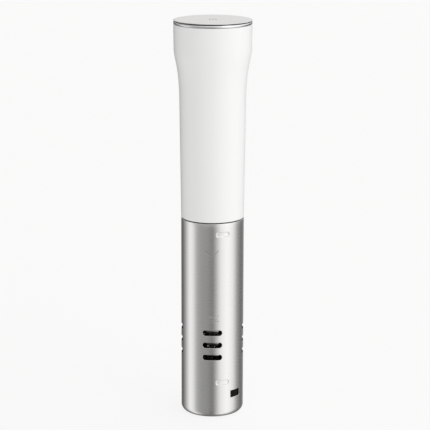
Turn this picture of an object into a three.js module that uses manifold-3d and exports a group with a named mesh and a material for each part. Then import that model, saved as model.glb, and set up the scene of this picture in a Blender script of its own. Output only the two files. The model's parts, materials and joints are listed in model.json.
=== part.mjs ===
import * as THREE from 'three';
import { mergeVertices } from 'three/addons/utils/BufferGeometryUtils.js';
import Module from 'manifold-3d';

// A stick immersion circulator, standing on its base: millimetres, +Z up, front towards -Y.
// Angles round the stick are in degrees from the front, growing towards +X.

const wasm = await Module();
wasm.setup();

// Driving sizes
const sleeveHeight = 186.3; // steel sleeve, from the surface it stands on to its open top
const sleeveRadius = 29;
const sleeveWall = 0.8;
const sleeveEdge = 6; // radius of the rounded bottom edge
const sleeveMouth = 19; // radius of the opening in the sleeve's bottom
const seamHeight = 0.9; // the dark line between sleeve and body
const bodyHeight = 178.4;
const bodyWall = 2.4;
const footStep = 0.2; // how far the bulkhead's collar stops short of the body's foot
const neckGain = 1.5; // how much the body widens from the seam to the neck
const headFlare = 5.1; // how much the head is wider than the neck
const headHeight = 21.6; // the nearly straight head
const headDraft = 0.25;
const flareHeight = 46;
const flarePullLow = 30; // reach of the flare's curve handles
const flarePullHigh = 11;
const bezelHeight = 3.3;
const bezelProud = 0.05;
const bezelLip = 0.5;
const plateThickness = 1.4;
const plateProud = 0.2;

// Water slots
const slotRows = 3;
const slotFirst = 59.05; // height of the lowest row's middle
const slotPitch = 11.75;
const slotHeight = 5.2;
const slotLength = 18.5;
const slotSides = 4;

// Bayonet: capsules pressed into the sleeve run in grooves of the black pieces inside it
const dimpleCount = 3;
const dimpleAngle = 19.6;
const dimpleLength = 13;
const dimpleHeight = 4.6;
const dimpleDepth = 1.4;
const upperDimpleDrop = 10.3; // below the sleeve's top
const lowerDimpleRise = 34.5; // above the surface it stands on
const twistAngle = 28; // turn from locked to free
const windowAngle = 47.6;
const windowLength = 12.4;
const windowHeight = 6.5;
const windowRise = 21.7;
const windowCount = 2;

// Wet side
const baseHeight = 41; // top edge of the intake base
const baseWall = 2.7;
const baseFloor = 2;
const grilleWidth = 2.6;
const grilleRings = [7.2, 11.6, 16];
const grilleArcs = 6;
const grilleBridge = 16; // degrees of floor left between two arcs
const shaftRadius = 3;
const shaftFoot = 6.6; // height of the shaft's lower end
const stubRadius = 2; // the shaft's end that takes the impeller and its nut
const stubLength = 3.4;
const shaftCollar = 1; // step on the shaft that the impeller stops against
const shaftCollarHeight = 1.5;
const shaftTopRise = 8.4; // above the bulkhead, inside the coupling
const impellerRadius = 18.5;
const impellerHeight = 9;
const impellerBlades = 5;
const bladeThickness = 1.6;
const bladeTilt = 35;
const hubRadius = 5.6;
const impellerNutSize = { radius: 4, height: 2.6, gap: 0.5 };
const coilRadius = 20.5; // to the middle of the heating tube
const heaterTube = 3.2;
const coilPitch = 11.4;
const coilDip = 2; // how far its lower end dips on its way to the middle
const coilClearance = 1.3;
const coilTopDrop = 20; // below the bulkhead
const coilLead = 26; // degrees from the feed leg to the coil's first turn
const coilSteps = 12; // path points in one turn
const legClearance = 0.7; // between the coil and the leg that rises inside it
const legRise = 7; // above the bulkhead
const nutRim = 2.2; // round the heater's legs
const heaterNutHeight = 3.7;
const carrierHeight = 4;
const padRise = 3; // pads that take the guide rods
const padRadius = 4;
const rodSocket = 1; // depth of the guide rods' sockets in the pads
const armWidth = 4;
const carrierRim = 2.5;
const carrierHub = 8;
const hubDrop = 0.7; // how far the hub and its bush stand out below the carrier, and above
const hubRise = 2;
const bushRadius = 5;
const rodRadius = 2;
const rodCircle = 12;
const rodAngles = [90, -90];
const rodBite = 4; // depth of the guide rods' upper sockets
const probeRadius = 2.4;
const probeFoot = 66; // heights of their lower ends
const electrodeRadius = 1.3;
const electrodeFoot = 112;
const electrodeAngles = [30, -30];
const stemRise = 3; // how far probe and electrodes stand out above the bulkhead

// Dry side
const collarHeight = 21; // part of the bulkhead that the sleeve slides over
const plugHeight = 8.8; // part of the bulkhead inside the body
const sealGroove = { bottom: 2.6, top: 5.2, depth: 1.6 }; // heights above the body's foot
const sealThickness = 1.2;
const bearingRadius = 8;
const bearingHeight = 5;
const sealRadius = 7;
const sealHeight = 4;
const chassisThickness = 3;
const chassisPlay = 0.8; // between the chassis and the body
const railThickness = 2;
const railWidth = 40; // degrees
const railRise = 2; // above the power board
const tabRadius = 3.6;
const tabWidth = 16; // degrees
const shelfThickness = 3; // ledges under the motor bracket
const shelfWidth = 24; // degrees
const shelfReach = 2.4; // inwards from the bracket screws
const earThickness = 3; // ears behind the power board
const earHalf = 4;
const joinDepth = 0.5; // how far joined features run into the piece they stand on
const couplingRadius = 6.6;
const couplingHeight = 14;
const couplingRise = 1.4; // above the bulkhead
const couplingStep = 8.6; // where its bore narrows to the motor's shaft
const rotorShaftRise = 8.8; // where the motor's shaft starts
const bracketHeight = 20; // above the chassis foot
const bracketThickness = 2.4;
const bracketEar = { from: 12, width: 26 };
const bracketBore = 6.4;
const motorRadius = 18;
const motorHeight = 44;
const motorWall = 1.5;
const motorFloor = 3;
const motorNose = 6; // radius of the ring that centres the can in its bracket
const noseDrop = 0.6;
const motorShaft = 2.5;
const motorPlay = { can: 0.6, cap: 0.4 }; // round its shaft
const motorScrewCircle = 11;
const magnetThickness = 2.8;
const magnetWidth = 150; // degrees
const magnetEnds = { bottom: 5, top: 13 }; // distances from the can's two ends
const armatureRadius = 12.4;
const armatureTeeth = 7;
const toothWidth = 40; // degrees
const stackEnds = { bottom: 6, top: 14 };
const windingRadius = 9.4;
const windingOverhang = { bottom: 1, top: 2 };
const commutatorRadius = 4.4;
const commutatorLength = 6;
const shaftOut = 1; // above the can
const capDepth = 4; // inside the can
const capRim = 3.5;
const capBoss = 5.5;
const boardThickness = 1.6;
const boardInset = 2.6; // from the rails
const boardEnds = { bottom: 11, top: 9 }; // clear of the motor and of the head frame
const bossDepth = 12;
const bossRadius = 3.4;
const bossInset = 3.6;
const bossWidth = 5; // degrees
const pilotDepth = 8;
const frameDrop = 13.3; // below the top of the body
const frameThickness = 2;
const frameInset = 6; // inside the display board's edge
const standoffHeight = 4;
const standoffRadius = 2.6;
const displayBoardRadius = 27;
const displayWindow = { across: 17, front: -16, back: -2, rise: 1 };
const buzzerSize = { radius: 6, height: 5.5, y: 9, port: 1 };
const inletRadius = 4.5;
const inletDrop = 7.3; // below the bosses
const inletLength = 9;
const inletNutSize = { radius: 6.6, height: 2.6, inset: 1.6 };
const cordRadius = 3.2;
const leadRadius = 1.2;
const bezelSkirt = { depth: 5, thickness: 1.6 };
const bezelEdge = 0.25;
const gasketGroove = { depth: 0.8, half: 0.6 };
const plateGap = 0.2; // between the plate and the lip round it

// Power board: each part's reach across, its depth and its reach up from the board's lower edge
const transformerCore = { across: [-14, 2], depth: 13, up: [4, 22] };
const transformerWinding = { across: [-12.5, 0.5], depth: 15, up: [7, 19] };
const capacitorCan = { x: 9.4, radius: 5.6, lift: 0.2, up: [4, 26] };
const relayBox = { across: [-15, 0], depth: 14, up: [27, 45] };
const heatSinkBase = { across: [-11, 11], depth: 3, up: [4, 18] };
const heatSinkFins = { count: 5, pitch: 5, thickness: 2, depth: 13 };
const terminalBox = { across: [-10, 10], depth: 9, up: [27, 35] };
const terminalWell = { x: 5, radius: 1.9, depth: 5 };

// Screws: radius and height of the head, radius and length of the shank
const screwSlot = { half: 0.4, depth: 0.7 };
const chassisScrew = { head: 2.8, headHeight: 1.8, shank: 1.5, length: 8.5 };
const bracketScrew = { head: 2.3, headHeight: 1.6, shank: 1.3, length: shelfThickness + 2.2 };
const motorScrew = { head: 2.6, headHeight: 1.6, shank: 1.5, length: bracketThickness + 2.6 };
const boardScrew = { head: 2.2, headHeight: 1.5, shank: 1.2, length: boardThickness + 2.9 };
const headScrew = { head: 2.4, headHeight: 1.6, shank: 1.3, length: 9 };

// Fits
const gap = 0.3; // between pieces that rest on each other
const slideGap = 0.5; // between the sleeve and what it turns on
const runGap = 0.1; // round the turning shaft
const bayonetGap = 0.4;
const screwGap = 0.25;

// Sides of round pieces
const shellSides = 40; // what shows
const roundSides = 24;
const innerSides = 16;
const rodSides = 10;
const smallSides = 6;

// Worked out from the above
const sleeveBore = sleeveRadius - sleeveWall;
const collarRadius = sleeveBore - slideGap;
const dimpleCrown = sleeveBore - dimpleDepth + sleeveWall / 2; // radius at the dimple's inner face
const grooveFloor = dimpleCrown - bayonetGap;
const grooveHeight = dimpleHeight + 2 * (sleeveWall + bayonetGap);
const dimpleSpan = degrees((dimpleLength + 2 * sleeveWall) / sleeveRadius);
const grooveMargin = 2; // degrees each side of a dimple
const bodyBottom = sleeveHeight + seamHeight;
const bodyTop = bodyBottom + bodyHeight;
const bodyBore = sleeveRadius - bodyWall;
const neckRadius = sleeveRadius + neckGain;
const headRadius = neckRadius + headFlare + headDraft;
const headBore = headRadius - bodyWall;
const bezelRadius = headRadius + bezelProud;
const bezelBottom = bodyTop + gap;
const bezelTop = bezelBottom + bezelHeight;
const plateTop = bezelTop + plateProud;
const collarTop = bodyBottom - footStep;
const collarBottom = collarTop - collarHeight;
const bulkheadTop = bodyBottom + plugHeight;
const chassisFoot = bulkheadTop + gap;
const chassisRadius = bodyBore - chassisPlay;
const railBore = chassisRadius - railThickness;
const bracketBottom = chassisFoot + bracketHeight;
const motorBottom = bracketBottom + bracketThickness + gap;
const motorTop = motorBottom + motorHeight;
const framePlane = bodyTop - frameDrop; // top of the head frame
const bossTop = framePlane - frameThickness - gap;
const bossCircle = headBore - bossInset;
const displayBoardBottom = framePlane + standoffHeight + gap;
const upperDimpleRise = sleeveHeight - upperDimpleDrop;
const carrierBottom = baseHeight + 1.5;
const carrierTop = carrierBottom + carrierHeight;
const coilBottom = carrierTop + padRise + heaterTube + coilDip + coilClearance;
const coilTop = collarBottom - coilTopDrop;
const impellerBottom = shaftFoot + stubLength + screwGap;
const baseRadius = collarRadius;
const baseBore = baseRadius - baseWall;
const feedLeg = { radius: 17, angle: 135 };
const returnLeg = { radius: coilRadius - 2 * heaterTube - legClearance, angle: -135 };
const legTop = bulkheadTop + legRise;
const chassisScrews = [0, 90, -90];
const railAngles = [90, -90];
const motorScrews = [0, 180];
const chassisScrewCircle = railBore - 3.8;
const bracketScrewCircle = railBore - 2.6;
const bossAngles = [0, 120, -120];
const boardBottom = motorTop + boardEnds.bottom;
const boardTop = bossTop - boardEnds.top;
const boardHalf = railBore - boardInset;
const boardFace = -1; // front face of the power board
const boardBack = boardFace + boardThickness;
const boardMiddle = (boardBottom + boardTop) / 2;
const boardScrewInset = 3;
const inletHeight = bossTop - inletDrop;
const inletFlange = { radius: 6, thickness: 1.4 };
const terminalAxis = boardBack + gap + terminalBox.depth / 2;

function degrees(turn) {
  return turn * 180 / Math.PI;
}

function radians(angle) {
  return angle * Math.PI / 180;
}

// A point at an angle round the stick
function around(radius, angle) {
  return [radius * Math.sin(radians(angle)), -radius * Math.cos(radians(angle))];
}

function pointAt(radius, angle, height) {
  return new THREE.Vector3(...around(radius, angle), height);
}

function toSolid(geometry) {
  geometry.deleteAttribute('normal');
  geometry.deleteAttribute('uv');
  const merged = mergeVertices(geometry, 1e-4);
  const corners = merged.index.array;
  const triangles = [];
  for (let i = 0; i < corners.length; i += 3) {
    const [a, b, c] = corners.slice(i, i + 3);
    if (a !== b && b !== c && c !== a) triangles.push(a, b, c);
  }
  return new wasm.Manifold(new wasm.Mesh({
    numProp: 3,
    vertProperties: new Float32Array(merged.attributes.position.array),
    triVerts: new Uint32Array(triangles),
  }));
}

function toGeometry(solid) {
  const mesh = solid.getMesh();
  const geometry = new THREE.BufferGeometry();
  geometry.setAttribute('position', new THREE.BufferAttribute(mesh.vertProperties, 3));
  geometry.setIndex(new THREE.BufferAttribute(mesh.triVerts, 1));
  geometry.computeVertexNormals();
  return geometry;
}

// A closed outline of radius and height, turned about the stick's axis
function turned(outline, segments = roundSides, arcSteps = 3) {
  const points = outline.getPoints(arcSteps);
  if (!points[0].equals(points.at(-1))) points.push(points[0].clone());
  return toSolid(new THREE.LatheGeometry(points, segments).rotateX(Math.PI / 2));
}

function outlineOf(points) {
  return new THREE.Shape(points.map(([x, y]) => new THREE.Vector2(x, y)));
}

function ring(outer, inner, bottom, top, segments = roundSides) {
  return turned(outlineOf([[inner, bottom], [outer, bottom], [outer, top], [inner, top]]), segments);
}

// An upright rod
function rod(radius, bottom, top, [x, y] = [0, 0], segments = rodSides) {
  const cylinder = new THREE.CylinderGeometry(radius, radius, top - bottom, segments);
  return toSolid(cylinder.rotateX(Math.PI / 2).translate(x, y, (bottom + top) / 2));
}

// A rod that points away from the axis
function radialRod(radius, from, to, angle, height, segments = rodSides) {
  const cylinder = new THREE.CylinderGeometry(radius, radius, to - from, segments);
  cylinder.translate(0, -(from + to) / 2, 0).rotateZ(radians(angle)).translate(0, 0, height);
  return toSolid(cylinder);
}

function block([x0, x1], [y0, y1], [z0, z1]) {
  const box = new THREE.BoxGeometry(x1 - x0, y1 - y0, z1 - z0);
  return toSolid(box.translate((x0 + x1) / 2, (y0 + y1) / 2, (z0 + z1) / 2));
}

function prism(outline, bottom, top, arcSteps = 6) {
  const extruded = new THREE.ExtrudeGeometry(outline, {
    depth: top - bottom, bevelEnabled: false, curveSegments: arcSteps,
  });
  return toSolid(extruded.translate(0, 0, bottom));
}

// A curved block: part of a ring between two angles
function sector(inner, outer, middle, width, bottom, top) {
  const from = radians(middle - width / 2 - 90);
  const to = radians(middle + width / 2 - 90);
  const outline = new THREE.Shape();
  outline.absarc(0, 0, outer, from, to, false);
  outline.absarc(0, 0, inner, to, from, true);
  return prism(outline, bottom, top, Math.max(1, Math.ceil(width / 20)));
}

// A slot shape with round ends, wrapped round the sleeve
function capsule(inner, outer, middle, length, height, level) {
  const reach = degrees((length - height) / sleeveRadius);
  const ends = [-reach / 2, reach / 2].map((offset) =>
    radialRod(height / 2, inner, outer, middle + offset, level));
  return joined([sector(inner, outer, middle, reach, level - height / 2, level + height / 2), ...ends]);
}

function hexagon(acrossCorners, bottom, top, centre = [0, 0]) {
  return rod(acrossCorners, bottom, top, centre, 6);
}

function joined(solids) {
  return solids.reduce((whole, piece) => whole.add(piece));
}

function cut(solid, cutters) {
  return cutters.reduce((left, cutter) => left.subtract(cutter), solid);
}

function evenly(count, first = 0) {
  return Array.from({ length: count }, (unused, i) => first + i * 360 / count);
}

// A round tube along a path
function tube(points, radius, steps) {
  const section = new THREE.Shape();
  section.absarc(0, 0, radius, 0, 2 * Math.PI, false);
  const path = new THREE.CatmullRomCurve3(points, false, 'centripetal');
  return toSolid(new THREE.ExtrudeGeometry(section, { steps, extrudePath: path, curveSegments: 4 }));
}

function material(color, roughness, metalness) {
  return () => new THREE.MeshStandardMaterial({ color, roughness, metalness });
}

const brushedSteel = material(0xb4b4b2, 0.32, 1);
const brightSteel = material(0xc8c8c8, 0.15, 1);
const whitePlastic = material(0xf1f1f0, 0.2, 0);
const silverPlate = material(0xd8d8d8, 0.35, 0.3);
const blackPlastic = material(0x1a1a1c, 0.5, 0);
const greyPlastic = material(0x6f7276, 0.55, 0);
const rubber = material(0x202022, 0.8, 0);
const circuitBoard = material(0x1f5a3a, 0.5, 0.05);
const brass = material(0xb99a58, 0.35, 1);
const copper = material(0xa9683c, 0.4, 0.9);
const castMagnet = material(0x3a3a3d, 0.6, 0.4);
const aluminium = material(0xb8babd, 0.4, 0.9);
const redWire = material(0x9c2f26, 0.5, 0);
const yellowTape = material(0xc9a93a, 0.5, 0);

// ---- Wet side

// Grooves for the dimples: one stretch round, and one leg down past the lower edge.
// turnDirection is +1 when the dimples turn inside fixed grooves.
function bayonetGrooves(outer, level, bottom, turnDirection) {
  const reach = dimpleSpan + 2 * grooveMargin;
  return evenly(dimpleCount, dimpleAngle).flatMap((angle) => [
    sector(grooveFloor, outer, angle + turnDirection * twistAngle / 2, reach + twistAngle,
      level - grooveHeight / 2, level + grooveHeight / 2),
    sector(grooveFloor, outer, angle + turnDirection * twistAngle, reach, bottom, level),
  ]);
}

function steelSleeve() {
  const wall = new THREE.Shape();
  const flat = sleeveRadius - sleeveEdge;
  wall.moveTo(sleeveMouth, 0);
  wall.lineTo(flat, 0);
  wall.absarc(flat, sleeveEdge, sleeveEdge, -Math.PI / 2, 0, false);
  wall.lineTo(sleeveRadius, sleeveHeight);
  wall.lineTo(sleeveBore, sleeveHeight);
  wall.lineTo(sleeveBore, sleeveEdge);
  wall.absarc(flat, sleeveEdge, sleeveEdge - sleeveWall, 0, -Math.PI / 2, true);
  wall.lineTo(sleeveMouth, sleeveWall);
  const shell = turned(wall, shellSides, 2);
  const beyond = sleeveRadius + 2;
  const levels = [upperDimpleRise, lowerDimpleRise];
  const bumps = levels.flatMap((level) => evenly(dimpleCount, dimpleAngle).map((angle) =>
    capsule(dimpleCrown, sleeveBore + sleeveWall / 2, angle, dimpleLength + 2 * sleeveWall,
      dimpleHeight + 2 * sleeveWall, level)));
  const dents = levels.flatMap((level) => evenly(dimpleCount, dimpleAngle).map((angle) =>
    capsule(dimpleCrown + sleeveWall, beyond, angle, dimpleLength, dimpleHeight, level)));
  const slots = evenly(slotSides).flatMap((angle) => Array.from({ length: slotRows }, (unused, row) =>
    capsule(sleeveBore - 1, beyond, angle, slotLength, slotHeight, slotFirst + row * slotPitch)));
  const windows = evenly(windowCount, windowAngle).map((angle) =>
    sector(sleeveBore - 1, beyond, angle, degrees(windowLength / sleeveRadius),
      windowRise - windowHeight / 2, windowRise + windowHeight / 2));
  return cut(joined([shell, ...bumps]), [...dents, ...slots, ...windows]);
}

// Black cup that drops into the sleeve's bottom: pump chamber, intake grille and lower bayonet
function intakeBase() {
  const flat = sleeveRadius - sleeveEdge;
  const edge = baseRadius - flat;
  const bottom = sleeveEdge - edge;
  const cup = new THREE.Shape();
  cup.moveTo(0, bottom);
  cup.lineTo(flat, bottom);
  cup.absarc(flat, sleeveEdge, edge, -Math.PI / 2, 0, false);
  cup.lineTo(baseRadius, baseHeight);
  cup.lineTo(baseBore, baseHeight);
  cup.lineTo(baseBore, bottom + 2 * baseFloor);
  cup.lineTo(baseBore - baseFloor, bottom + baseFloor);
  cup.lineTo(0, bottom + baseFloor);
  const arcWidth = 360 / grilleArcs - grilleBridge;
  const grille = grilleRings.flatMap((radius, row) => {
    const angles = evenly(grilleArcs, row * 180 / grilleArcs);
    return angles.map((angle) => sector(radius - grilleWidth / 2, radius + grilleWidth / 2, angle, arcWidth,
      -1, sleeveEdge));
  });
  const grooves = bayonetGrooves(sleeveRadius, lowerDimpleRise, -1, -1);
  return cut(turned(cup, shellSides, 2), [...grille, ...grooves]);
}

function driveShaft() {
  const top = bulkheadTop + shaftTopRise;
  const stubTop = shaftFoot + stubLength;
  const collar = impellerBottom + impellerHeight + gap;
  const collarEdge = shaftRadius + shaftCollar;
  const collarEnd = collar + shaftCollarHeight;
  return turned(outlineOf([
    [0, shaftFoot], [stubRadius, shaftFoot], [stubRadius, stubTop], [shaftRadius, stubTop],
    [shaftRadius, collar], [collarEdge, collar], [collarEdge, collarEnd], [shaftRadius, collarEnd],
    [shaftRadius, top], [0, top],
  ]), innerSides);
}

function impeller() {
  const top = impellerBottom + impellerHeight;
  const bladeWidth = impellerHeight / Math.sin(radians(bladeTilt)) + bladeThickness / 2;
  const blades = evenly(impellerBlades).map((angle) => {
    const blade = new THREE.BoxGeometry(bladeWidth, impellerRadius + joinDepth, bladeThickness);
    blade.rotateY(radians(bladeTilt));
    blade.translate(0, -(impellerRadius + joinDepth) / 2, impellerBottom + impellerHeight / 2);
    return toSolid(blade.rotateZ(radians(angle)));
  });
  const hub = rod(hubRadius, impellerBottom, top, [0, 0], innerSides);
  const sweep = rod(impellerRadius, impellerBottom, top, [0, 0], roundSides);
  const bore = rod(shaftRadius + screwGap, 0, top + 1, [0, 0], innerSides);
  return cut(joined([hub, ...blades]).intersect(sweep), [bore]);
}

function impellerNut() {
  const top = impellerBottom - impellerNutSize.gap;
  const nut = hexagon(impellerNutSize.radius, top - impellerNutSize.height, top);
  return cut(nut, [rod(stubRadius + screwGap, 0, top + 1)]);
}

// Down the coil from the feed leg, then back up through its middle
function heaterPath() {
  const count = Math.round((coilTop - coilBottom) / coilPitch * coilSteps);
  const start = feedLeg.angle + coilLead;
  const points = [
    pointAt(feedLeg.radius, feedLeg.angle, legTop),
    pointAt(feedLeg.radius, feedLeg.angle, collarBottom),
    pointAt(feedLeg.radius, feedLeg.angle, collarBottom - 4),
    pointAt(feedLeg.radius + 1, feedLeg.angle + 2, coilTop + 10),
  ];
  for (let i = 0; i <= count; i += 1) {
    const turn = i / coilSteps;
    points.push(pointAt(coilRadius, start + turn * 360, coilTop - turn * coilPitch));
  }
  const end = start + count * 360 / coilSteps;
  const turnIn = ((returnLeg.angle - end) % 360 + 360) % 360;
  const low = coilTop - count * coilPitch / coilSteps;
  const sweep = Math.max(3, Math.ceil(turnIn * coilSteps / 360));
  for (let i = 1; i < sweep; i += 1) {
    const share = i / sweep;
    const radius = coilRadius + (returnLeg.radius - coilRadius) * share ** 2;
    points.push(pointAt(radius, end + turnIn * share, low - coilDip * Math.sin(Math.PI * share)));
  }
  [low + 8, (low + collarBottom) / 2, collarBottom, legTop].forEach((height) => {
    points.push(pointAt(returnLeg.radius, returnLeg.angle, height));
  });
  return points;
}

function heaterCoil() {
  const turns = (coilTop - coilBottom) / coilPitch;
  return tube(heaterPath(), heaterTube, Math.round(turns * 14 + 16));
}

function heaterNut(leg) {
  const bottom = bulkheadTop + gap;
  const centre = around(leg.radius, leg.angle);
  const nut = hexagon(heaterTube + nutRim, bottom, bottom + heaterNutHeight, centre);
  return cut(nut, [rod(heaterTube + screwGap, 0, legTop, centre)]);
}

// Ring and arms that hold the lower bearing
function lowerCarrier() {
  const outer = grooveFloor - bayonetGap;
  const armInner = bushRadius + 1;
  const armOuter = outer - 1;
  const arms = evenly(4).map((angle) => {
    const arm = new THREE.BoxGeometry(armWidth, armOuter - armInner, carrierHeight);
    arm.translate(0, -(armOuter + armInner) / 2, carrierBottom + carrierHeight / 2);
    return toSolid(arm.rotateZ(radians(angle)));
  });
  const pads = rodAngles.map((angle) => rod(padRadius, carrierBottom, carrierTop + padRise,
    around(rodCircle, angle)));
  const whole = joined([
    ring(outer, outer - carrierRim, carrierBottom, carrierTop), ...arms, ...pads,
    rod(carrierHub, carrierBottom - hubDrop, carrierTop + hubRise, [0, 0], innerSides),
  ]);
  const sockets = rodAngles.map((angle) => rod(rodRadius + screwGap, carrierTop - rodSocket, coilBottom,
    around(rodCircle, angle)));
  return cut(whole, [rod(bushRadius + screwGap, 0, coilBottom, [0, 0], innerSides), ...sockets]);
}

function lowerBush() {
  return ring(bushRadius, shaftRadius + runGap, carrierBottom - hubDrop, carrierTop + hubRise, innerSides);
}

function guideRod(angle) {
  return rod(rodRadius, carrierTop - rodSocket + gap, collarBottom + rodBite, around(rodCircle, angle));
}

function temperatureProbe() {
  const [x, y] = around(rodCircle, 180);
  const stem = rod(probeRadius, probeFoot, bulkheadTop + stemRise, [x, y]);
  const tip = new THREE.SphereGeometry(probeRadius, rodSides, smallSides).rotateX(Math.PI / 2);
  return joined([stem, toSolid(tip.translate(x, y, probeFoot))]);
}

function levelElectrode(angle) {
  return rod(electrodeRadius, electrodeFoot, bulkheadTop + stemRise, around(rodCircle, angle));
}

// ---- Bulkhead

function bulkhead() {
  const plug = bodyBore - bayonetGap;
  const body = turned(outlineOf([
    [0, collarBottom], [collarRadius, collarBottom], [collarRadius, collarTop], [plug, collarTop],
    [plug, bodyBottom + sealGroove.bottom], [plug - sealGroove.depth, bodyBottom + sealGroove.bottom],
    [plug - sealGroove.depth, bodyBottom + sealGroove.top], [plug, bodyBottom + sealGroove.top],
    [plug, bulkheadTop], [0, bulkheadTop],
  ]), shellSides);
  const through = [
    rod(shaftRadius + shaftCollar, 0, legTop),
    rod(bearingRadius + screwGap, bulkheadTop - bearingHeight - gap, legTop, [0, 0], innerSides),
    rod(sealRadius + screwGap, 0, collarBottom + sealHeight + gap, [0, 0], innerSides),
    ...[feedLeg, returnLeg].map((leg) =>
      rod(heaterTube + screwGap, 0, legTop, around(leg.radius, leg.angle))),
    ...rodAngles.map((angle) => rod(rodRadius + screwGap, 0, collarBottom + rodBite + gap,
      around(rodCircle, angle))),
    rod(probeRadius + screwGap, 0, legTop, around(rodCircle, 180)),
    ...electrodeAngles.map((angle) => rod(electrodeRadius + screwGap, 0, legTop,
      around(rodCircle, angle), smallSides)),
    ...chassisScrews.map((angle) => rod(chassisScrew.shank + screwGap,
      bulkheadTop - chassisScrew.length + 1.5, legTop, around(chassisScrewCircle, angle), smallSides)),
  ];
  return cut(body, [...through, ...bayonetGrooves(sleeveRadius, upperDimpleRise, 0, 1)]);
}

function bulkheadSeal() {
  const radius = bodyBore - bayonetGap - sealThickness / 2;
  const height = bodyBottom + (sealGroove.bottom + sealGroove.top) / 2;
  const section = new THREE.Shape();
  section.absarc(radius, height, sealThickness / 2, 0, 2 * Math.PI, false);
  return turned(section);
}

function shaftBearing() {
  return ring(bearingRadius, shaftRadius + runGap, bulkheadTop - bearingHeight, bulkheadTop, innerSides);
}

function shaftSeal() {
  return ring(sealRadius, shaftRadius + runGap, collarBottom, collarBottom + sealHeight, innerSides);
}

function junctionGasket() {
  return ring(sleeveRadius - gap, collarRadius + footStep, sleeveHeight + footStep, bodyBottom - footStep,
    shellSides);
}

// ---- Body

// Outer line of the white shell, from the seam up to the bezel
function bodyLine() {
  const neck = bodyTop - headHeight - flareHeight;
  const shoulder = bodyTop - headHeight;
  const shoulderRadius = headRadius - headDraft;
  const taper = neckGain / (neck - bodyBottom);
  const line = new THREE.Path();
  line.moveTo(sleeveRadius, bodyBottom);
  line.lineTo(neckRadius, neck);
  line.bezierCurveTo(neckRadius + taper * flarePullLow, neck + flarePullLow,
    shoulderRadius - taper * flarePullHigh, shoulder - flarePullHigh, shoulderRadius, shoulder);
  line.lineTo(headRadius, bodyTop);
  return line.getPoints(6);
}

function upperHousing() {
  const outside = bodyLine();
  const inside = outside.map((point) => new THREE.Vector2(point.x - bodyWall, point.y)).reverse();
  const shell = turned(new THREE.Shape([...outside, ...inside]), shellSides);
  const bosses = bossAngles.map((angle) => {
    const post = rod(bossRadius, bossTop - bossDepth, bossTop, around(bossCircle, angle));
    const web = sector(bossCircle, headBore + joinDepth, angle, bossWidth, bossTop - bossDepth, bossTop);
    return joined([post, web]);
  });
  const pilots = bossAngles.map((angle) => rod(headScrew.shank + screwGap, bossTop - pilotDepth,
    bossTop + 1, around(bossCircle, angle), smallSides));
  const seat = headRadius - inletFlange.thickness - gap;
  const beyond = headRadius + 3;
  const hole = backRod(inletRadius + gap, headBore - 1, beyond);
  const recess = backRod(inletFlange.radius + gap, seat, beyond);
  return cut(joined([shell, ...bosses]), [...pilots, hole, recess]);
}

// A rod through the back of the head, at the cord inlet
function backRod(radius, from, to, segments = innerSides) {
  return radialRod(radius, from, to, 180, inletHeight, segments);
}

function cordInlet() {
  const flange = backRod(inletFlange.radius, headRadius - inletFlange.thickness, headRadius);
  const barrel = backRod(inletRadius, headRadius - inletLength, headRadius - joinDepth);
  return cut(joined([flange, barrel]), [backRod(cordRadius, headBore - inletLength, headRadius + 1)]);
}

function inletNut() {
  const outer = headBore - inletNutSize.inset;
  const nut = backRod(inletNutSize.radius, outer - inletNutSize.height, outer, 6);
  return cut(nut, [backRod(inletRadius + screwGap, outer - 2 * inletNutSize.height, outer + 1)]);
}

function chassis() {
  const footTop = chassisFoot + chassisThickness;
  const inside = railBore + joinDepth;
  const shelfTop = bracketBottom - gap;
  const foot = ring(chassisRadius, railBore, chassisFoot, footTop);
  const rails = railAngles.map((angle) => sector(railBore, chassisRadius, angle, railWidth,
    chassisFoot, boardTop + railRise));
  const tabs = chassisScrews.map((angle) => joined([
    rod(tabRadius, chassisFoot, footTop, around(chassisScrewCircle, angle)),
    sector(chassisScrewCircle, inside, angle, tabWidth, chassisFoot, footTop),
  ]));
  const shelves = railAngles.map((angle) => sector(bracketScrewCircle - shelfReach, inside, angle,
    shelfWidth, shelfTop - shelfThickness, shelfTop));
  const ear = block([boardHalf - 2 * boardScrewInset, inside],
    [boardBack + gap, boardBack + gap + earThickness], [boardMiddle - earHalf, boardMiddle + earHalf]);
  const holes = [
    ...chassisScrews.map((angle) => rod(chassisScrew.shank + screwGap, 0, footTop + 1,
      around(chassisScrewCircle, angle), smallSides)),
    ...railAngles.map((angle) => rod(bracketScrew.shank + screwGap, footTop + 1, bracketBottom,
      around(bracketScrewCircle, angle), smallSides)),
    ...[1, -1].map((side) => acrossRod(boardScrew.shank + screwGap, boardBack,
      boardBack + earThickness + 2, side * (boardHalf - boardScrewInset), boardMiddle)),
  ];
  return cut(joined([foot, ...rails, ...tabs, ...shelves, ear, ear.mirror([1, 0, 0])]), holes);
}

// A rod along Y
function acrossRod(radius, from, to, x, z) {
  const cylinder = new THREE.CylinderGeometry(radius, radius, to - from, smallSides);
  return toSolid(cylinder.translate(x, (from + to) / 2, z));
}

// A screw whose head sits on z = 0 and whose shank points down
function screw(size) {
  const head = rod(size.head, 0, size.headHeight);
  const shank = rod(size.shank, -size.length, size.headHeight / 2, [0, 0], smallSides);
  const slot = block([-size.head, size.head], [-screwSlot.half, screwSlot.half],
    [size.headHeight - screwSlot.depth, size.headHeight + 1]);
  return cut(joined([head, shank]), [slot]);
}

// ---- Drive

function motorScrewHoles(bottom, top) {
  return motorScrews.map((angle) => rod(motorScrew.shank + screwGap, bottom, top,
    around(motorScrewCircle, angle), smallSides));
}

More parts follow.
